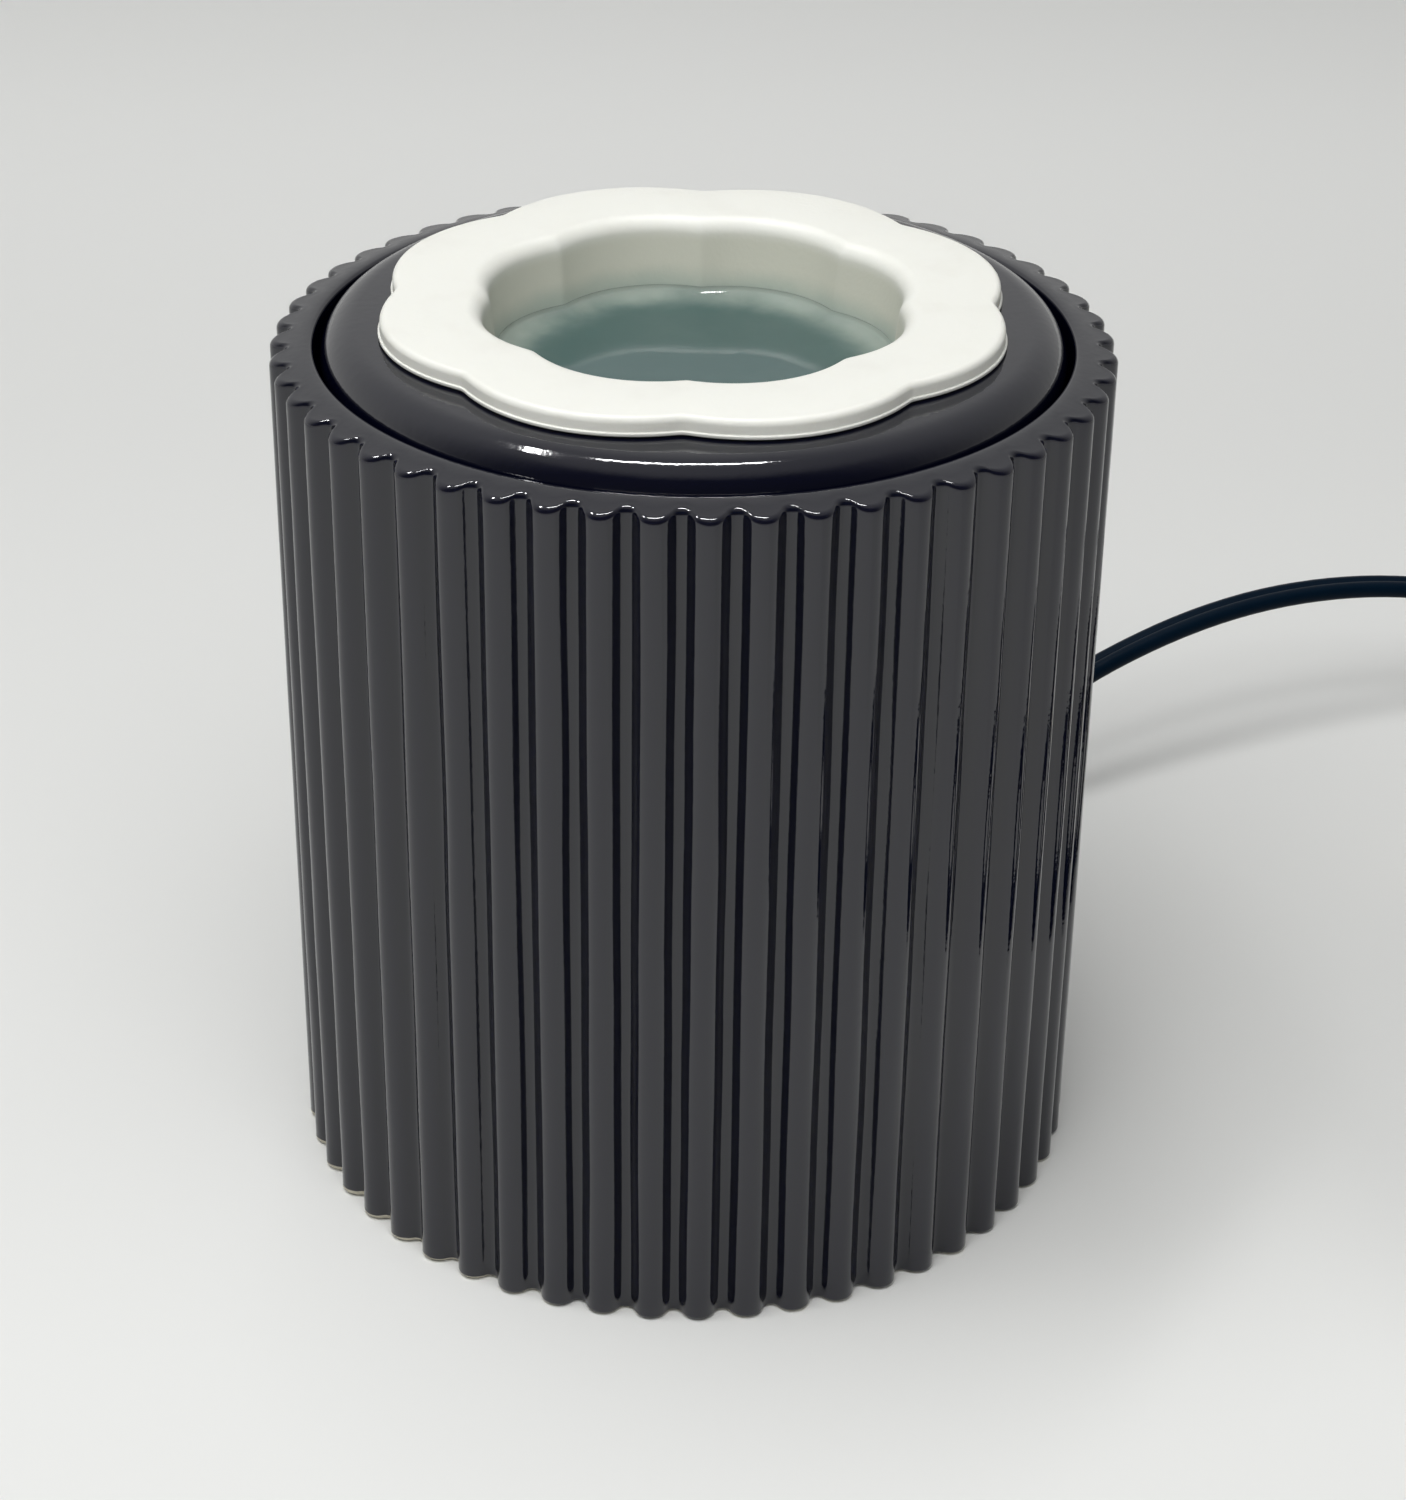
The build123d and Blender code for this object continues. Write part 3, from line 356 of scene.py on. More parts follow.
def flattenExit(bm, values):  # flat face that the lead's collar seats on
    turn = radians(values["exitTurn"])
    outWay, sideWay = Vector((cos(turn), sin(turn), 0)), Vector((-sin(turn), cos(turn), 0))
    flat, end = values["exitFlatRadius"], values["exitFlatRadius"] + values["exitBlend"]
    for vert in bm.verts:
        out = vert.co.dot(outWay)
        away = hypot(vert.co.dot(sideWay), vert.co.z - values["exitHeight"])
        if out > values["exitFlat"] and away < end:
            vert.co -= outWay * (out - values["exitFlat"]) * (1 - eased(away, flat, end))


def makePot(values):
    crest, level = values["crestRadius"], values["levelRadius"]
    top, foot = values["rimHeight"], values["footHeight"]
    shoulder = values["shoulder"][0]
    corners = [
        (values["deckHole"], values["deckLow"], values["deckRounding"]),
        (values["deckHole"], values["deckTop"], values["deckRounding"]),
        (values["recessRadius"], values["deckTop"], values["recessRounding"]),
        (values["recessRadius"], top, values["lipRounding"]),
        (level, top, 0),
        (level + (crest - shoulder - level) / 2, top, 0),
        (crest, top, shoulder),
        (crest, foot, values["toe"][0]),
        (values["seatRadius"], foot, values["footRounding"]),
        (values["seatRadius"], values["seatHeight"], values["seatRounding"]),
        (values["cavityRadius"], values["seatHeight"], values["seatRounding"]),
        (values["cavityRadius"], values["deckLow"], values["cavityRounding"]),
    ]
    bm = turnedForm(corners, values["ribCount"] * values["stepsPerRib"], closed=True,
                    startTurn=radians(values["firstCrest"] - 90))
    wall = [edge for edge in bm.edges
            if all(abs(hypot(vert.co.x, vert.co.y) - crest) < onRing for vert in edge.verts)
            and abs(edge.verts[0].co.z - edge.verts[1].co.z) > (top - foot) / 2]
    bmesh.ops.subdivide_edges(bm, edges=wall, cuts=values["wallCuts"], use_grid_fill=True)
    flutePot(bm, values)
    flattenExit(bm, values)
    bmesh.ops.recalc_face_normals(bm, faces=bm.faces)
    piece = finishMesh(bm, "pot")
    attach(piece, "warmer")
    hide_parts("body_shell")
    return piece


potPiece = makePot(pot)
print("pot made:", len(potPiece.data.polygons), "faces")


# dish

dish = {
    "brimRadius": 55.0,
    "crownHeight": 138.0,
    "baseHeight": 111.7,
    "brimThickness": 7.0,
    "edgeRounding": 5.4,
    "underRounding": 1.4,
    "bowlRadius": 36.4,
    "bowlOuter": 40.6,
    "draft": 3.6,
    "floorHeight": 116.2,
    "floorRounding": 3.0,
    "mouthRounding": 2.4,
    "neckRounding": 3.0,
    "footStep": 3.0,
    "footRoundings": (1.5, 2.0),
    "steps": 288,
}


def makeDish(values):
    crown, base = values["crownHeight"], values["baseHeight"]
    under = crown - values["brimThickness"]
    foot, step = values["bowlOuter"] - values["draft"], values["footStep"]
    footRounding, heelRounding = values["footRoundings"]
    corners = [
        (0, base, 0),
        (foot - step, base, footRounding),
        (foot, base + step, heelRounding),
        (values["bowlOuter"], under, values["neckRounding"]),
        (values["brimRadius"], under, values["underRounding"]),
        (values["brimRadius"], crown, values["edgeRounding"]),
        (values["bowlRadius"], crown, values["mouthRounding"]),
        (values["bowlRadius"] - values["draft"], values["floorHeight"], values["floorRounding"]),
        (0, values["floorHeight"], 0),
    ]
    piece = finishMesh(turnedForm(corners, values["steps"], segments=10), "dish")
    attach(piece, "dish")
    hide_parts("dish")
    return piece


dishPiece = makeDish(dish)
print("dish made")


# soft liner and its wax

liner = {
    "lobes": 8,
    "turn": -1.8,             # degrees round
    "notchSoftness": 0.012,
    "lobeRadius": 47.2,
    "notchRadius": 44.2,
    "wellRadius": 32.0,
    "creaseRadius": 30.2,
    "flangeLow": 138.25,
    "flangeTop": 141.04,
    "topRounding": 1.0,
    "lipHeight": 0.55,        # thin mould lip along the lower edge
    "lipWidth": 0.3,
    "lipRounding": 0.15,
    "underRoundings": (1.2, 0.2),  # under the flange, at the well and at the lip
    "lowHeight": 116.5,
    "wall": 1.8,
    "draft": 2.6,
    "heelRounding": 3.0,
    "floorRounding": 2.4,
    "mouthRounding": 2.6,
    "innerWallSlack": 0.1,
    "steps": 384,
    "waxHeight": 129.3,
    "waxEdgeRise": 1.3,       # wax creeps up the wall
    "waxEdgeSlope": 29.25,    # degrees
    "waxEdgeRounding": 5.5,
    "waxGap": 0.03,
}


def lobeShare(values, turn, radius):  # how far a point at this radius is drawn in towards the notches
    outer, notch = values["lobeRadius"], values["notchRadius"]
    well, crease = values["wellRadius"], values["creaseRadius"]
    outwards = min(1.0, max(0.0, (radius - well) / (outer - well)))
    drawn = crease / well + (notch / outer - crease / well) * outwards
    half = pi / values["lobes"]
    middle = (drawn ** 2 - 1) / (2 * (drawn * cos(half) - 1))
    rounding = 1 - middle
    fromNotch = (turn - radians(values["turn"] - 90) + half) % (2 * half) - half
    softened = sqrt(fromNotch ** 2 + values["notchSoftness"] ** 2)
    fromLobe = max(0.0, half - softened)
    return middle * cos(fromLobe) + sqrt(rounding ** 2 - (middle * sin(fromLobe)) ** 2)


def lobeForm(bm, values):
    for vert in bm.verts:
        radius = hypot(vert.co.x, vert.co.y)
        if radius < 0.01:
            continue
        turn = atan2(vert.co.y, vert.co.x)
        share = lobeShare(values, turn, radius)
        vert.co.x *= share
        vert.co.y *= share


def makeLiner(values):
    top, low = values["flangeTop"], values["flangeLow"]
    well, wall, draft = values["wellRadius"], values["wall"], values["draft"]
    base, edge = values["lowHeight"], values["lobeRadius"]
    lip = low + values["lipHeight"]
    wellRounding, edgeRounding = values["underRoundings"]
    corners = [
        (0, base, 0),
        (well + wall - draft, base, values["heelRounding"]),
        (well + wall, low, wellRounding),
        (edge, low, edgeRounding),
        (edge, lip, values["lipRounding"]),
        (edge - values["lipWidth"], lip, values["lipRounding"]),
        (edge - values["lipWidth"], top, values["topRounding"]),
        (well, top, values["mouthRounding"]),
        (well - draft, base + wall, values["floorRounding"]),
        (0, base + wall, 0),
    ]
    bm = turnedForm(corners, values["steps"], segments=7)
    innerWall = bm.verts.layers.float.new("innerWall")  # 1 on the inner wall
    for vert in bm.verts:
        radius, height = hypot(vert.co.x, vert.co.y), vert.co.z
        inner = well - draft * (top - height) / (top - base - wall)
        mouth = well + values["mouthRounding"] + values["innerWallSlack"]
        vert[innerWall] = radius < (mouth if height > low + values["innerWallSlack"] else inner + wall / 2)
    lobeForm(bm, values)
    piece = finishMesh(bm, "liner")
    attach(piece, "liner")
    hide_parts("silicone_liner")
    return piece


def makeWax(values):
    top, gap, corner = values["flangeTop"], values["waxGap"], values["floorRounding"]
    bottom = values["lowHeight"] + values["wall"]

    def wallRadius(height):
        return values["wellRadius"] - values["draft"] * (top - height) / (top - bottom) - gap

    surface, edge = values["waxHeight"], values["waxHeight"] + values["waxEdgeRise"]
    shore = values["waxEdgeRise"] / tan(radians(values["waxEdgeSlope"]))
    corners = [
        (0, bottom + gap, 0),
        (wallRadius(bottom) - corner, bottom + gap, 0),
        (wallRadius(bottom + corner), bottom + corner, 0),
        (wallRadius(edge), edge, 0),
        (wallRadius(edge) - shore, surface, values["waxEdgeRounding"]),
        (0, surface, 0),
    ]
    bm = turnedForm(corners, values["steps"], segments=6)
    lobeForm(bm, values)
    piece = finishMesh(bm, "wax")
    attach(piece, "liner")
    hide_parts("wax_pool")
    return piece


linerPiece = makeLiner(liner)
waxPiece = makeWax(liner)
print("liner and wax made")


# strain relief

relief = {
    "flatRadius": 59.0,
    "collarRadius": 6.6,
    "collarThickness": 2.0,
    "neckRadius": 4.4,
    "rootRadius": 4.9,
    "tipRadius": 3.6,
    "length": 24.0,
    "flangeInner": 50.6,
    "flangeThickness": 2.2,
    "flangeRoundings": (0.5, 0.3),   # at its inner face and where it meets the wall
    "collarRounding": 0.8,
    "tipRounding": 0.6,
    "grooves": 6,
    "grooveDepth": 0.55,
    "grooveRounding": 0.2,
    "grooveShares": ((0.15, 0), (0.62, 0), (0.70, 1), (0.92, 1)),  # of the pitch, and of the depth
    "plainRoot": 0.4,
    "plainTip": 3,
    "steps": 64,
}


def makeRelief(values):
    collarOut = values["flatRadius"] + values["collarThickness"]
    tip = collarOut + values["length"]
    wallIn = values["flangeInner"] + values["flangeThickness"]
    innerRounding, wallRounding = values["flangeRoundings"]
    corners = [
        (0, values["flangeInner"], 0),
        (values["collarRadius"], values["flangeInner"], innerRounding),
        (values["collarRadius"], wallIn, wallRounding),
        (values["neckRadius"], wallIn, 0),
        (values["neckRadius"], values["flatRadius"], 0),
        (values["collarRadius"], values["flatRadius"], wallRounding),
        (values["collarRadius"], collarOut, values["collarRounding"]),
    ]
    pitch = (values["length"] - values["plainTip"]) / values["grooves"]
    for index in range(values["grooves"]):
        for share, deep in values["grooveShares"]:
            out = collarOut + values["plainRoot"] + pitch * (index + share)
            taper = (out - collarOut) / values["length"]
            radius = values["rootRadius"] + (values["tipRadius"] - values["rootRadius"]) * taper
            corners.append((radius - values["grooveDepth"] * deep, out, values["grooveRounding"]))
    corners += [(values["tipRadius"], tip, values["tipRounding"]), (0, tip, 0)]
    bm = turnedForm(corners, values["steps"], segments=2)
    turn = Matrix.Rotation(radians(pot["exitTurn"]), 4, "Z") @ Matrix.Rotation(radians(90), 4, "Y")
    bmesh.ops.transform(bm, matrix=Matrix.Translation((0, 0, pot["exitHeight"])) @ turn, verts=bm.verts)
    piece = finishMesh(bm, "strainRelief")
    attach(piece, "warmer")
    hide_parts("strain_relief")
    return piece


reliefPiece = makeRelief(relief)
print("strain relief made")


# finishes

class Signal:  # a shader value; sums and products of it add their nodes
    def __init__(self, finish, socket):
        self.finish = finish
        self.socket = socket

    def math(self, operation, first, second):
        return self.finish.node("ShaderNodeMath", {"operation": operation}, {0: first, 1: second})

    def __add__(self, other):
        return self.math("ADD", self, other)

    __radd__ = __add__

    def __sub__(self, other):
        return self.math("SUBTRACT", self, other)

    def __rsub__(self, other):
        return self.math("SUBTRACT", other, self)

    def __mul__(self, other):
        return self.math("MULTIPLY", self, other)

    __rmul__ = __mul__

    def __pow__(self, other):
        return self.math("POWER", self, other)


class Finish:
    def __init__(self, name, target=None):
        self.material = target or bpy.data.materials.new(name)
        self.material.use_nodes = True
        self.tree = self.material.node_tree
        self.shader = self.tree.nodes["Background" if target else "Principled BSDF"]

    def node(self, kind, settings=None, inputs=None, output=0):
        made = self.tree.nodes.new(kind)
        for key, value in (settings or {}).items():
            setattr(made, key, value)
        for key, value in (inputs or {}).items():
            if isinstance(value, Signal):
                self.tree.links.new(value.socket, made.inputs[key])
            else:
                made.inputs[key].default_value = value
        return Signal(self, made.outputs[output])

    def coordinates(self, kind="Object"):
        return self.node("ShaderNodeTexCoord", output=kind)

    def axes(self, kind="Object"):
        split = self.node("ShaderNodeSeparateXYZ", inputs={0: self.coordinates(kind)}).socket.node
        return [Signal(self, socket) for socket in split.outputs]

    def grain(self, size, detail, stretch=(1, 1, 1)):  # noise with features of this size in millimetres
        placed = self.node("ShaderNodeMapping", inputs={0: self.coordinates(), "Scale": stretch})
        return self.node("ShaderNodeTexNoise", inputs={
            "Vector": placed, "Scale": 1 / (size * millimetre), "Detail": detail, "Roughness": 0.5})

    def span(self, value, low, high, first=0.0, last=1.0):
        return self.node("ShaderNodeMapRange", {"interpolation_type": "SMOOTHSTEP"}, {
            "Value": value, "From Min": low, "From Max": high, "To Min": first, "To Max": last})

    def blend(self, share, first, second):  # a Mix node takes its colours at 6 and 7 and gives one at 2
        made = self.node("ShaderNodeMix", {"data_type": "RGBA"}, {"Factor": share}).socket.node
        for socket, value in ((made.inputs[6], first), (made.inputs[7], second)):
            if isinstance(value, Signal):
                self.tree.links.new(value.socket, socket)
            else:
                socket.default_value = (*value, 1)
        return Signal(self, made.outputs[2])

    def bump(self, height, distance, strength):
        return self.node("ShaderNodeBump", inputs={
            "Height": height, "Distance": distance, "Strength": strength})

    def set(self, values):
        for key, value in values.items():
            socket = self.shader.inputs[key]
            if isinstance(value, Signal):
                self.tree.links.new(value.socket, socket)
            elif hasattr(value, "__len__") and len(value) == 3 and socket.type == "RGBA":
                socket.default_value = (*value, 1)
            else:
                socket.default_value = value
        return self.material


glazeLook = {
    "deep": (0.0008, 0.0014, 0.0075),
    "lighterGlaze": (0.0030, 0.0032, 0.0105),   # lighter glaze; over a crest it runs thin and is also painted lighter, as painted light on the crests
    "crestLightSpan": (0.0604, 0.0624),       # distance from the axis over which it thins and takes the painted light of the crests
    "lighterShares": (0.8, 0.3, 0.6),      # by that distance, and by clouds on the pot and on the dish
    "cloud": (14, 4),                   # size in millimetres and detail
    "speck": (1.3, 2),
    "relief": (0.00016, 0.4),           # depth in metres and strength
    "speckShare": 0.35,
    "roughness": 0.07,
    "roughnessSpread": 0.06,
    "index": 1.62,
    "clay": (0.50, 0.47, 0.38),
    "clayRoughness": 0.85,
    "footLine": (0.00045, 0.0011),      # bare clay up to this height, at the front and at the left
    "footSpan": (-0.055, -0.012),
    "footRagged": (5, 2, 0.0009),       # size, detail and height of its uneven edge
    "footSoft": 0.0001,
}


def makeGlaze(name, values, ribbed):
    finish = Finish(name)
    x, y, z = finish.axes()
    radius = (x * x + y * y) ** 0.5
    cloud = finish.grain(*values["cloud"])
    speck = finish.grain(*values["speck"])
    crestLightShare, byCloud, dishCloud = values["lighterShares"]
    if ribbed:
        # painted light and shade: lighter on the crests and darker in the flutes, partly glaze running thin
        # over the crests
        lighterGlaze = finish.span(radius, *values["crestLightSpan"]) * crestLightShare + cloud * byCloud
    else:
        lighterGlaze = cloud * dishCloud
    colour = finish.blend(lighterGlaze, values["deep"], values["lighterGlaze"])
    roughness = values["roughness"] + (cloud - 0.5) * values["roughnessSpread"]
    if ribbed:
        front, left = values["footLine"]
        size, detail, ragged = values["footRagged"]
        edge = finish.span(x, *values["footSpan"], left, front) + (finish.grain(size, detail) - 0.5) * ragged
        bare = finish.span(z - edge, -values["footSoft"], values["footSoft"], 1.0, 0.0)
        colour = finish.blend(bare, colour, values["clay"])
        roughness = roughness * (1 - bare) + bare * values["clayRoughness"]
    return finish.set({
        "Base Color": colour,
        "Roughness": roughness,
        "IOR": values["index"],
        "Normal": finish.bump(speck * values["speckShare"] + cloud, *values["relief"]),
    })


siliconeLook = {
    "clean": (0.80, 0.803, 0.750),
    "worn": (0.765, 0.763, 0.71),
    "wornSpan": (0.45, 0.8),
    "cloud": (9, 4),                    # size in millimetres and detail
    "dust": (0.7, 2),
    "wellShade": (0.65, 0.65, 0.56),       # painted shade: the well's inner wall made darker and greyer than the flange
    "wellShadeEnd": (0.1375, 0.1400),        # height in metres over which that painted shade ends
    "tinted": (0.30, 0.40, 0.36),       # teal tint of a thin film of wax on the wall just above the pool
    "tintEnd": (0.1300, 0.1345),
    "tintRagged": 0.003,
    "tintShare": 0.62,
    "roughness": 0.5,
    "roughnessSpread": 0.15,
    "relief": (0.00006, 0.5),
    "glow": (0.05, (0.003, 0.0028, 0.0022)),  # share and depth of the light inside it
}


def makeSilicone(values):
    finish = Finish("silicone")
    z = finish.axes()[2]
    cloud = finish.grain(*values["cloud"])
    dust = finish.grain(*values["dust"])
    inside = finish.node("ShaderNodeAttribute", {"attribute_name": "innerWall"}, output="Fac")
    # painted shade inside the well, from the floor up to near the mouth
    wellShade = inside * finish.span(z, *values["wellShadeEnd"], 1.0, 0.0)
    ragged = z + (cloud - 0.5) * values["tintRagged"]
    tinted = inside * finish.span(ragged, *values["tintEnd"], values["tintShare"], 0.0)
    bare = finish.blend(finish.span(cloud, *values["wornSpan"]), values["clean"], values["worn"])
    glow, glowDepth = values["glow"]
    return finish.set({
        "Base Color": finish.blend(tinted, finish.blend(wellShade, bare, values["wellShade"]), values["tinted"]),
        "Roughness": values["roughness"] + (dust - 0.5) * values["roughnessSpread"],
        "Subsurface Weight": glow,
        "Subsurface Radius": glowDepth,
        "Subsurface Scale": 1.0,
        "Normal": finish.bump(dust + cloud, *values["relief"]),
    })


waxLook = {
    "deep": (0.047, 0.099, 0.096),
    "pale": (0.30, 0.35, 0.31),         # where it thins out towards the wall
    "paleSpan": (0.0205, 0.0302),       # distance from the axis in metres
    "paleShare": 0.85,
    "milk": (7, 3),                     # size in millimetres and detail
    "milkShare": 0.1,
    "ragged": 0.004,
    "roughness": 0.035,
    "roughnessSpread": 0.03,
    "relief": (0.00012, 0.2),
    "glow": (0.25, (0.004, 0.006, 0.006)),
}


def makeWaxFinish(values):
    finish = Finish("wax")
    x, y = finish.axes()[:2]
    radius = (x * x + y * y) ** 0.5
    milk = finish.grain(*values["milk"])
    shore = finish.span(radius + (milk - 0.5) * values["ragged"], *values["paleSpan"])
    pale = shore * shore * values["paleShare"] + (milk - 0.5) * values["milkShare"]
    glow, glowDepth = values["glow"]
    return finish.set({
        "Base Color": finish.blend(pale, values["deep"], values["pale"]),
        "Roughness": values["roughness"] + (milk - 0.5) * values["roughnessSpread"],
        "Subsurface Weight": glow,
        "Subsurface Radius": glowDepth,
        "Subsurface Scale": 1.0,
        "Normal": finish.bump(milk, *values["relief"]),
    })


mouldedLook = {"cloud": (12, 3), "lighter": (1.3, 0.0008), "roughnessSpread": 0.12, "relief": 0.6}


def makeMoulded(name, colour, roughness, grainSize=0.8, depth=0.00004, shine=0.5):
    finish = Finish(name)
    grain = finish.grain(grainSize, 3)
    cloud = finish.grain(*mouldedLook["cloud"])
    gain, lift = mouldedLook["lighter"]
    return finish.set({
        "Base Color": finish.blend(cloud, colour, tuple(min(1.0, part * gain + lift) for part in colour)),
        "Roughness": roughness + (grain - 0.5) * mouldedLook["roughnessSpread"],
        "Specular IOR Level": shine,
        "Normal": finish.bump(grain, depth, mouldedLook["relief"]),
    })


metalLook = {"brushed": (2.0, 4), "stain": (15, 4), "darker": 0.72, "roughnessSpread": 0.2,
             "relief": (0.00003, 0.5)}


def makeMetal(name, colour, roughness, stretch=(1, 1, 8)):
    finish = Finish(name)
    brushed = finish.grain(*metalLook["brushed"], stretch)
    stain = finish.grain(*metalLook["stain"])
    return finish.set({
        "Base Color": finish.blend(stain, colour, tuple(part * metalLook["darker"] for part in colour)),
        "Metallic": 1.0,
        "Roughness": roughness + (brushed - 0.5) * metalLook["roughnessSpread"],
        "Normal": finish.bump(brushed, *metalLook["relief"]),
    })


finishes = {
    "aluminium": makeMetal("aluminium", (0.80, 0.80, 0.79), 0.32),
    "steel": makeMetal("steel", (0.62, 0.62, 0.61), 0.30, (1, 1, 1)),
    "fuseMetal": makeMetal("fuseMetal", (0.70, 0.69, 0.66), 0.25, (1, 8, 1)),
    "brass": makeMetal("brass", (0.80, 0.60, 0.28), 0.28, (1, 1, 1)),
    "gasketRubber": makeMoulded("gasketRubber", (0.55, 0.17, 0.10), 0.55),
    "mica": makeMoulded("mica", (0.42, 0.36, 0.26), 0.35, 3.0, 0.0001),
    "fibre": makeMoulded("fibre", (0.72, 0.70, 0.64), 0.9, 1.2, 0.0003),
    "wireWhite": makeMoulded("wireWhite", (0.78, 0.77, 0.72), 0.5),
    "crimpNylon": makeMoulded("crimpNylon", (0.70, 0.68, 0.60), 0.4),
    "leadBlack": makeMoulded("leadBlack", (0.0006, 0.0056, 0.0135), 0.34, 1.5, 0.00003, shine=0.05),
    "blackPlastic": makeMoulded("blackPlastic", (0.012, 0.012, 0.013), 0.42, 0.5, 0.00005),
    "rockerPlastic": makeMoulded("rockerPlastic", (0.014, 0.014, 0.015), 0.28, 0.9, 0.00002),
    "footRubber": makeMoulded("footRubber", (0.03, 0.03, 0.03), 0.75, 0.6, 0.00006),
    "tiePlastic": makeMoulded("tiePlastic", (0.018, 0.018, 0.019), 0.45, 0.7, 0.00004),
    "potGlaze": makeGlaze("potGlaze", glazeLook, True),
    "dishGlaze": makeGlaze("dishGlaze", glazeLook, False),
    "silicone": makeSilicone(siliconeLook),
    "wax": makeWaxFinish(waxLook),
}

newPieces = {potPiece: "potGlaze", dishPiece: "dishGlaze", linerPiece: "silicone", waxPiece: "wax",
             leadPiece: "leadBlack", reliefPiece: "leadBlack"}
for piece, finishName in newPieces.items():
    piece.data.materials.append(finishes[finishName])

nodeFinish = {
    "aluminium": ("heater_plate",),
    "gasketRubber": ("plate_gasket",),
    "mica": ("heating_element",),
    "fibre": ("insulation_disc",),
    "steel": ("backing_plate", "backing_nut", "bridge_bracket", "bridge_washer", "bridge_nut", "tie_rod",
              "base_washer", "base_nut", "fuse_clip", "clip_rivets", "clamp_screws", "switch_screws"),
    "fuseMetal": ("thermal_fuse",),
    "brass": ("switch_terminals", "plug_blades"),
    "wireWhite": ("fuse_jumper", "live_wire", "neutral_wire", "lead_cores", "switch_wires"),
    "crimpNylon": ("crimp_connectors",),
    "leadBlack": ("inner_lead",),
    "blackPlastic": ("base_cover", "cord_clamp", "switch_lower", "switch_upper", "plug_body"),
    "rockerPlastic": ("switch_rocker",),
    "footRubber": ("rubber_feet",),
    "tiePlastic": ("coil_tie",),
}
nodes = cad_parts
for finishName, names in nodeFinish.items():
    for name in names:
        for slot in nodes[name].material_slots:
            slot.material = finishes[finishName]
print("finishes made:", len(finishes))


# floor

floor = {
    "colour": (0.775, 0.78, 0.765),
    "reach": 5.0,                   # half its width in metres
    "frontPaintedLight": (-0.085, 0.0, 1.05),   # painted light, paler in front: from, to and its share of the colour, along y
    "backPaintedLight": (0.24, 0.52, 1.13),     # painted light, paler behind: the same behind
    "rightPaintedShadow": (0.078, 0.114, 0.93),  # painted shadow of the pot, darker at the right: the same at the right, along x leant by this share of y
    "paintedShadowLean": 0.3,
    "paintedShadowEnd": (0.10, 0.20),
    "farGlow": (0.52, 0.52, 0.51),  # keeps it pale where the lamps don't reach, and lights nothing
    "glowSpan": (0.65, 2.2),
}


def seenRays(finish):  # 1 where the camera, a reflection or glass sees the surface
    rays = finish.node("ShaderNodeLightPath").socket.node
    kinds = ("Is Camera Ray", "Is Glossy Ray", "Is Transmission Ray")
    return sum(Signal(finish, rays.outputs[kind]) for kind in kinds)


def makeFloor(values):
    bm = bmesh.new()
    bmesh.ops.create_grid(bm, x_segments=1, y_segments=1, size=values["reach"])
    ground = finishMesh(bm, "studio", scale=1.0)
    finish = Finish("studioPaper")
    x, y = finish.axes()[:2]
    frontFrom, frontTo, front = values["frontPaintedLight"]
    backFrom, backTo, back = values["backPaintedLight"]
    rightFrom, rightTo, right = values["rightPaintedShadow"]
    # painted light and shadow on the floor: paler in front and behind, a painted shadow to the right of the
    # pot
    paintedShadowMask = (finish.span(x + y * values["paintedShadowLean"], rightFrom, rightTo)
               * finish.span(y, *values["paintedShadowEnd"], 1.0, 0.0))
    paintedLightAndShadow = (finish.span(y, frontFrom, frontTo, front, 1.0) * finish.span(y, backFrom, backTo, 1.0, back)
             * (1 - paintedShadowMask * (1 - right)))
    red, green, blue = [paintedLightAndShadow * part for part in values["colour"]]
    far = finish.span((x * x + y * y) ** 0.5, *values["glowSpan"])
    paper = finish.node("ShaderNodeCombineColor", inputs={"Red": red, "Green": green, "Blue": blue})
    ground.data.materials.append(finish.set({
        "Base Color": paper,
        "Emission Color": finish.blend(far * seenRays(finish), (0, 0, 0), values["farGlow"]),
        "Emission Strength": 1.0,
        "Roughness": 0.9,
        "Specular IOR Level": 0.2,
    }))


makeFloor(floor)


# world

sky = {
    "colour": (1.0, 1.0, 0.985),
    "soft": 0.18,                   # even light from all round
    "top": 0.5,                     # what the glaze mirrors overhead, behind, low all round and in front
    "back": 0.62,
    "horizon": 0.6,
    "front": 0.05,
    "topSpan": (0.74, 0.99),        # along z, which is 1 straight up
    "horizonSpan": (0.05, 0.2),
    "backSpan": (-0.65, 0.45),      # along y, which is 1 straight behind
    "leftGain": 0.25,               # mirrored brighter on the left by this share
}


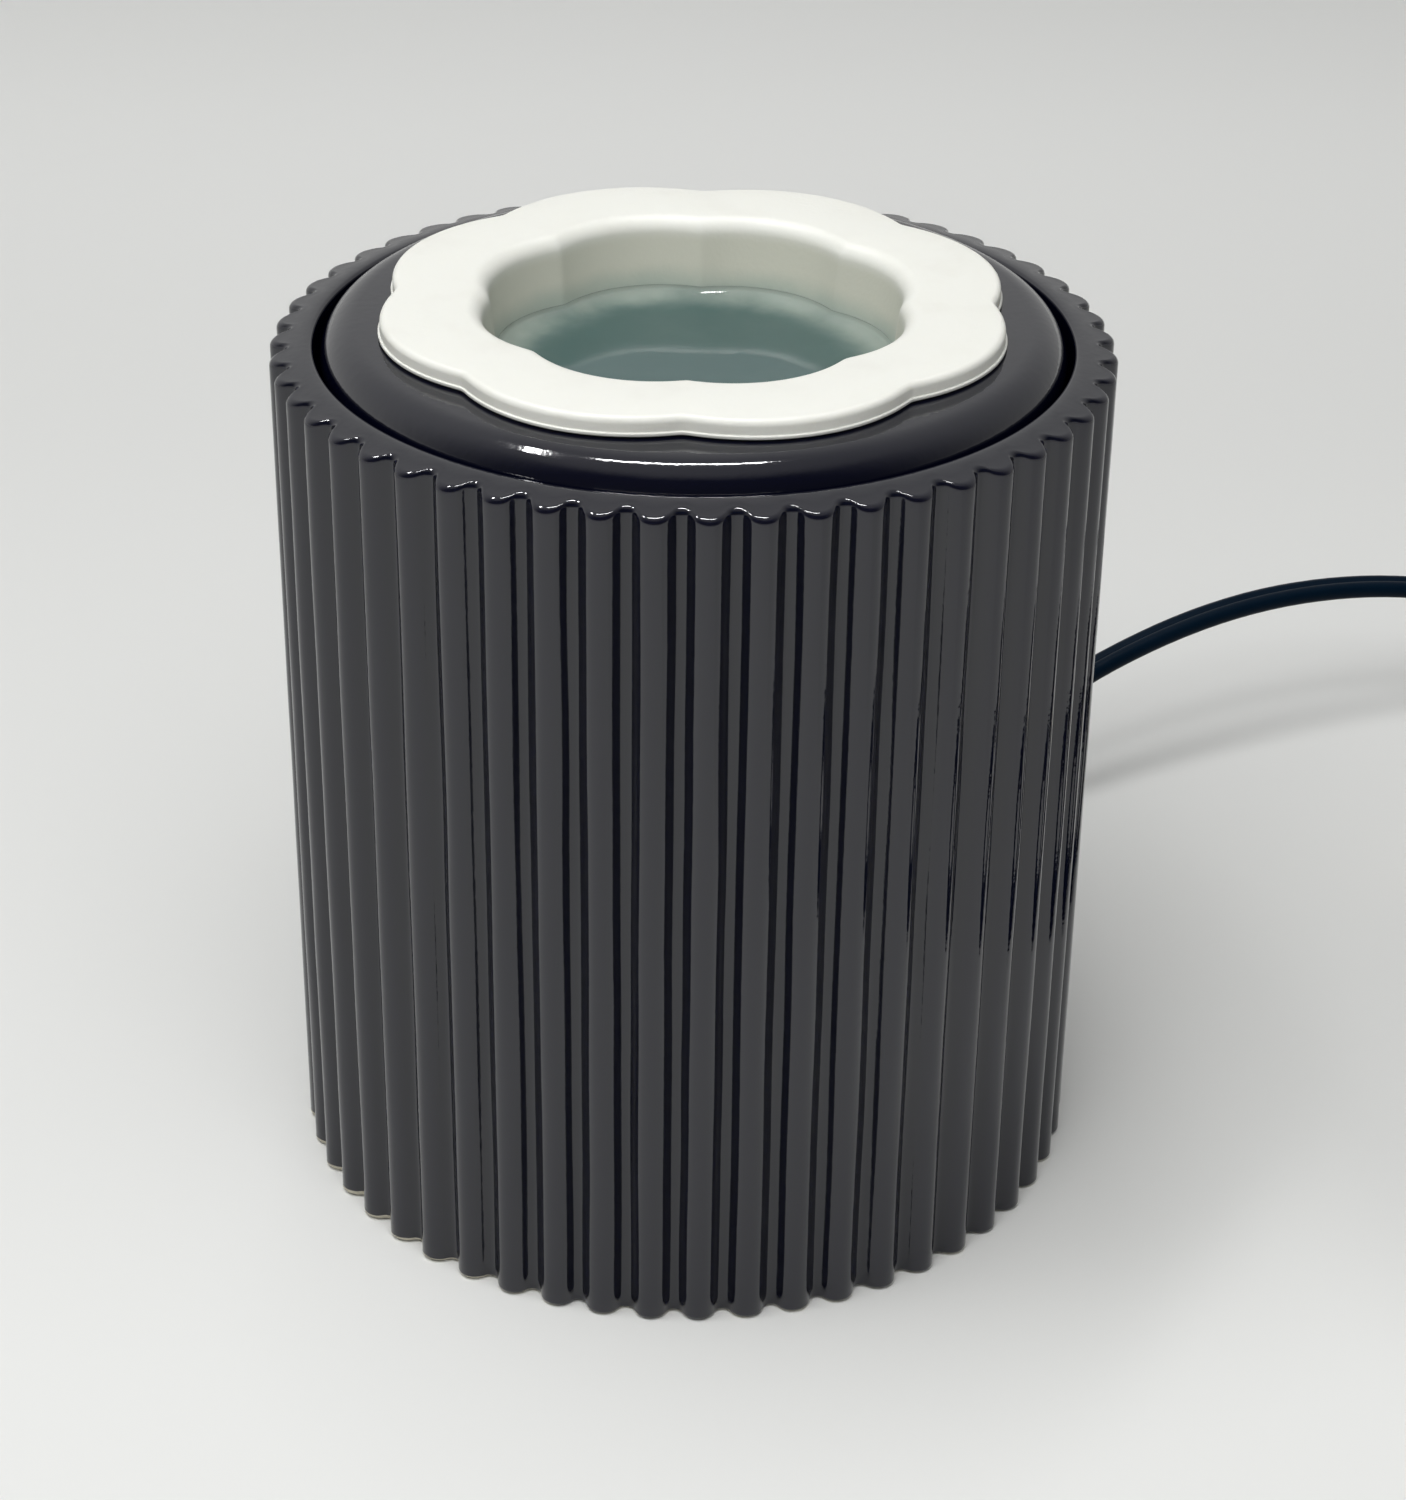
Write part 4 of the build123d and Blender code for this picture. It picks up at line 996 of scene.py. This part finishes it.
def makeWorld(values):  # even light; mirrored, it is bright above and behind and dark towards the front
    world = bpy.data.worlds.new("world")
    bpy.context.scene.world = world
    finish = Finish("world", world)
    x, y, z = finish.axes("Generated")
    front = finish.span(z, *values["horizonSpan"], values["horizon"], values["front"])
    behind = finish.span(y, *values["backSpan"])
    low = front * (1 - behind) + behind * values["back"]
    high = finish.span(z, *values["topSpan"])
    seen = seenRays(finish)
    mirrored = (low * (1 - high) + high * values["top"]) * (1 - x * values["leftGain"])
    finish.set({
        "Color": values["colour"],
        "Strength": seen * mirrored + (1 - seen) * values["soft"],
    })


makeWorld(sky)


# lamps: a mirrored one shows only in the gloss, the others light only the surfaces

lamps = {
    "stripWide": {"place": (-0.03, 0.22, 1.25), "aim": (0, 0, 0.1), "size": (0.44, 0.045), "radiance": 120.0},
    "stripLeft": {"place": (-0.47, 0.22, 1.25), "aim": (0, 0, 0.1), "size": (0.32, 0.045), "radiance": 120.0},
    "key": {"place": (-0.2, 0.12, 1.25), "aim": (0, 0, 0), "size": (0.8, 0.1), "radiance": 10.0},
    "overhead": {"place": (-0.36, -0.28, 1.3), "aim": (0, 0, 0), "size": (1.0, 1.0), "radiance": 2.9},
    "front": {"place": (0.15, -0.62, 1.25), "aim": (0, 0, 0), "size": (0.9, 0.9), "radiance": 2.35},
    "fill": {"place": (-0.35, -1.1, 1.15), "aim": (0, -0.05, 0), "size": (0.9, 0.9), "radiance": 0.8},
}
mirroredLamps = ("stripWide", "stripLeft")


def makeLamp(name, values, mirrored):
    data = bpy.data.lights.new(name, "AREA")
    data.shape = "RECTANGLE"
    width, depth = values["size"]
    data.size, data.size_y = width, depth
    data.energy = values["radiance"] * pi * width * depth
    lamp = bpy.data.objects.new(name, data)
    bpy.context.scene.collection.objects.link(lamp)
    lamp.location = values["place"]
    aimed = Vector(values["aim"]) - Vector(values["place"])
    lamp.rotation_euler = aimed.to_track_quat("-Z", "Y").to_euler()
    lamp.visible_glossy = mirrored
    lamp.visible_diffuse = not mirrored


for name, values in lamps.items():
    makeLamp(name, values, name in mirroredLamps)
bpy.context.scene.view_settings.view_transform = "Standard"
print("studio made:", len(lamps), "lamps")
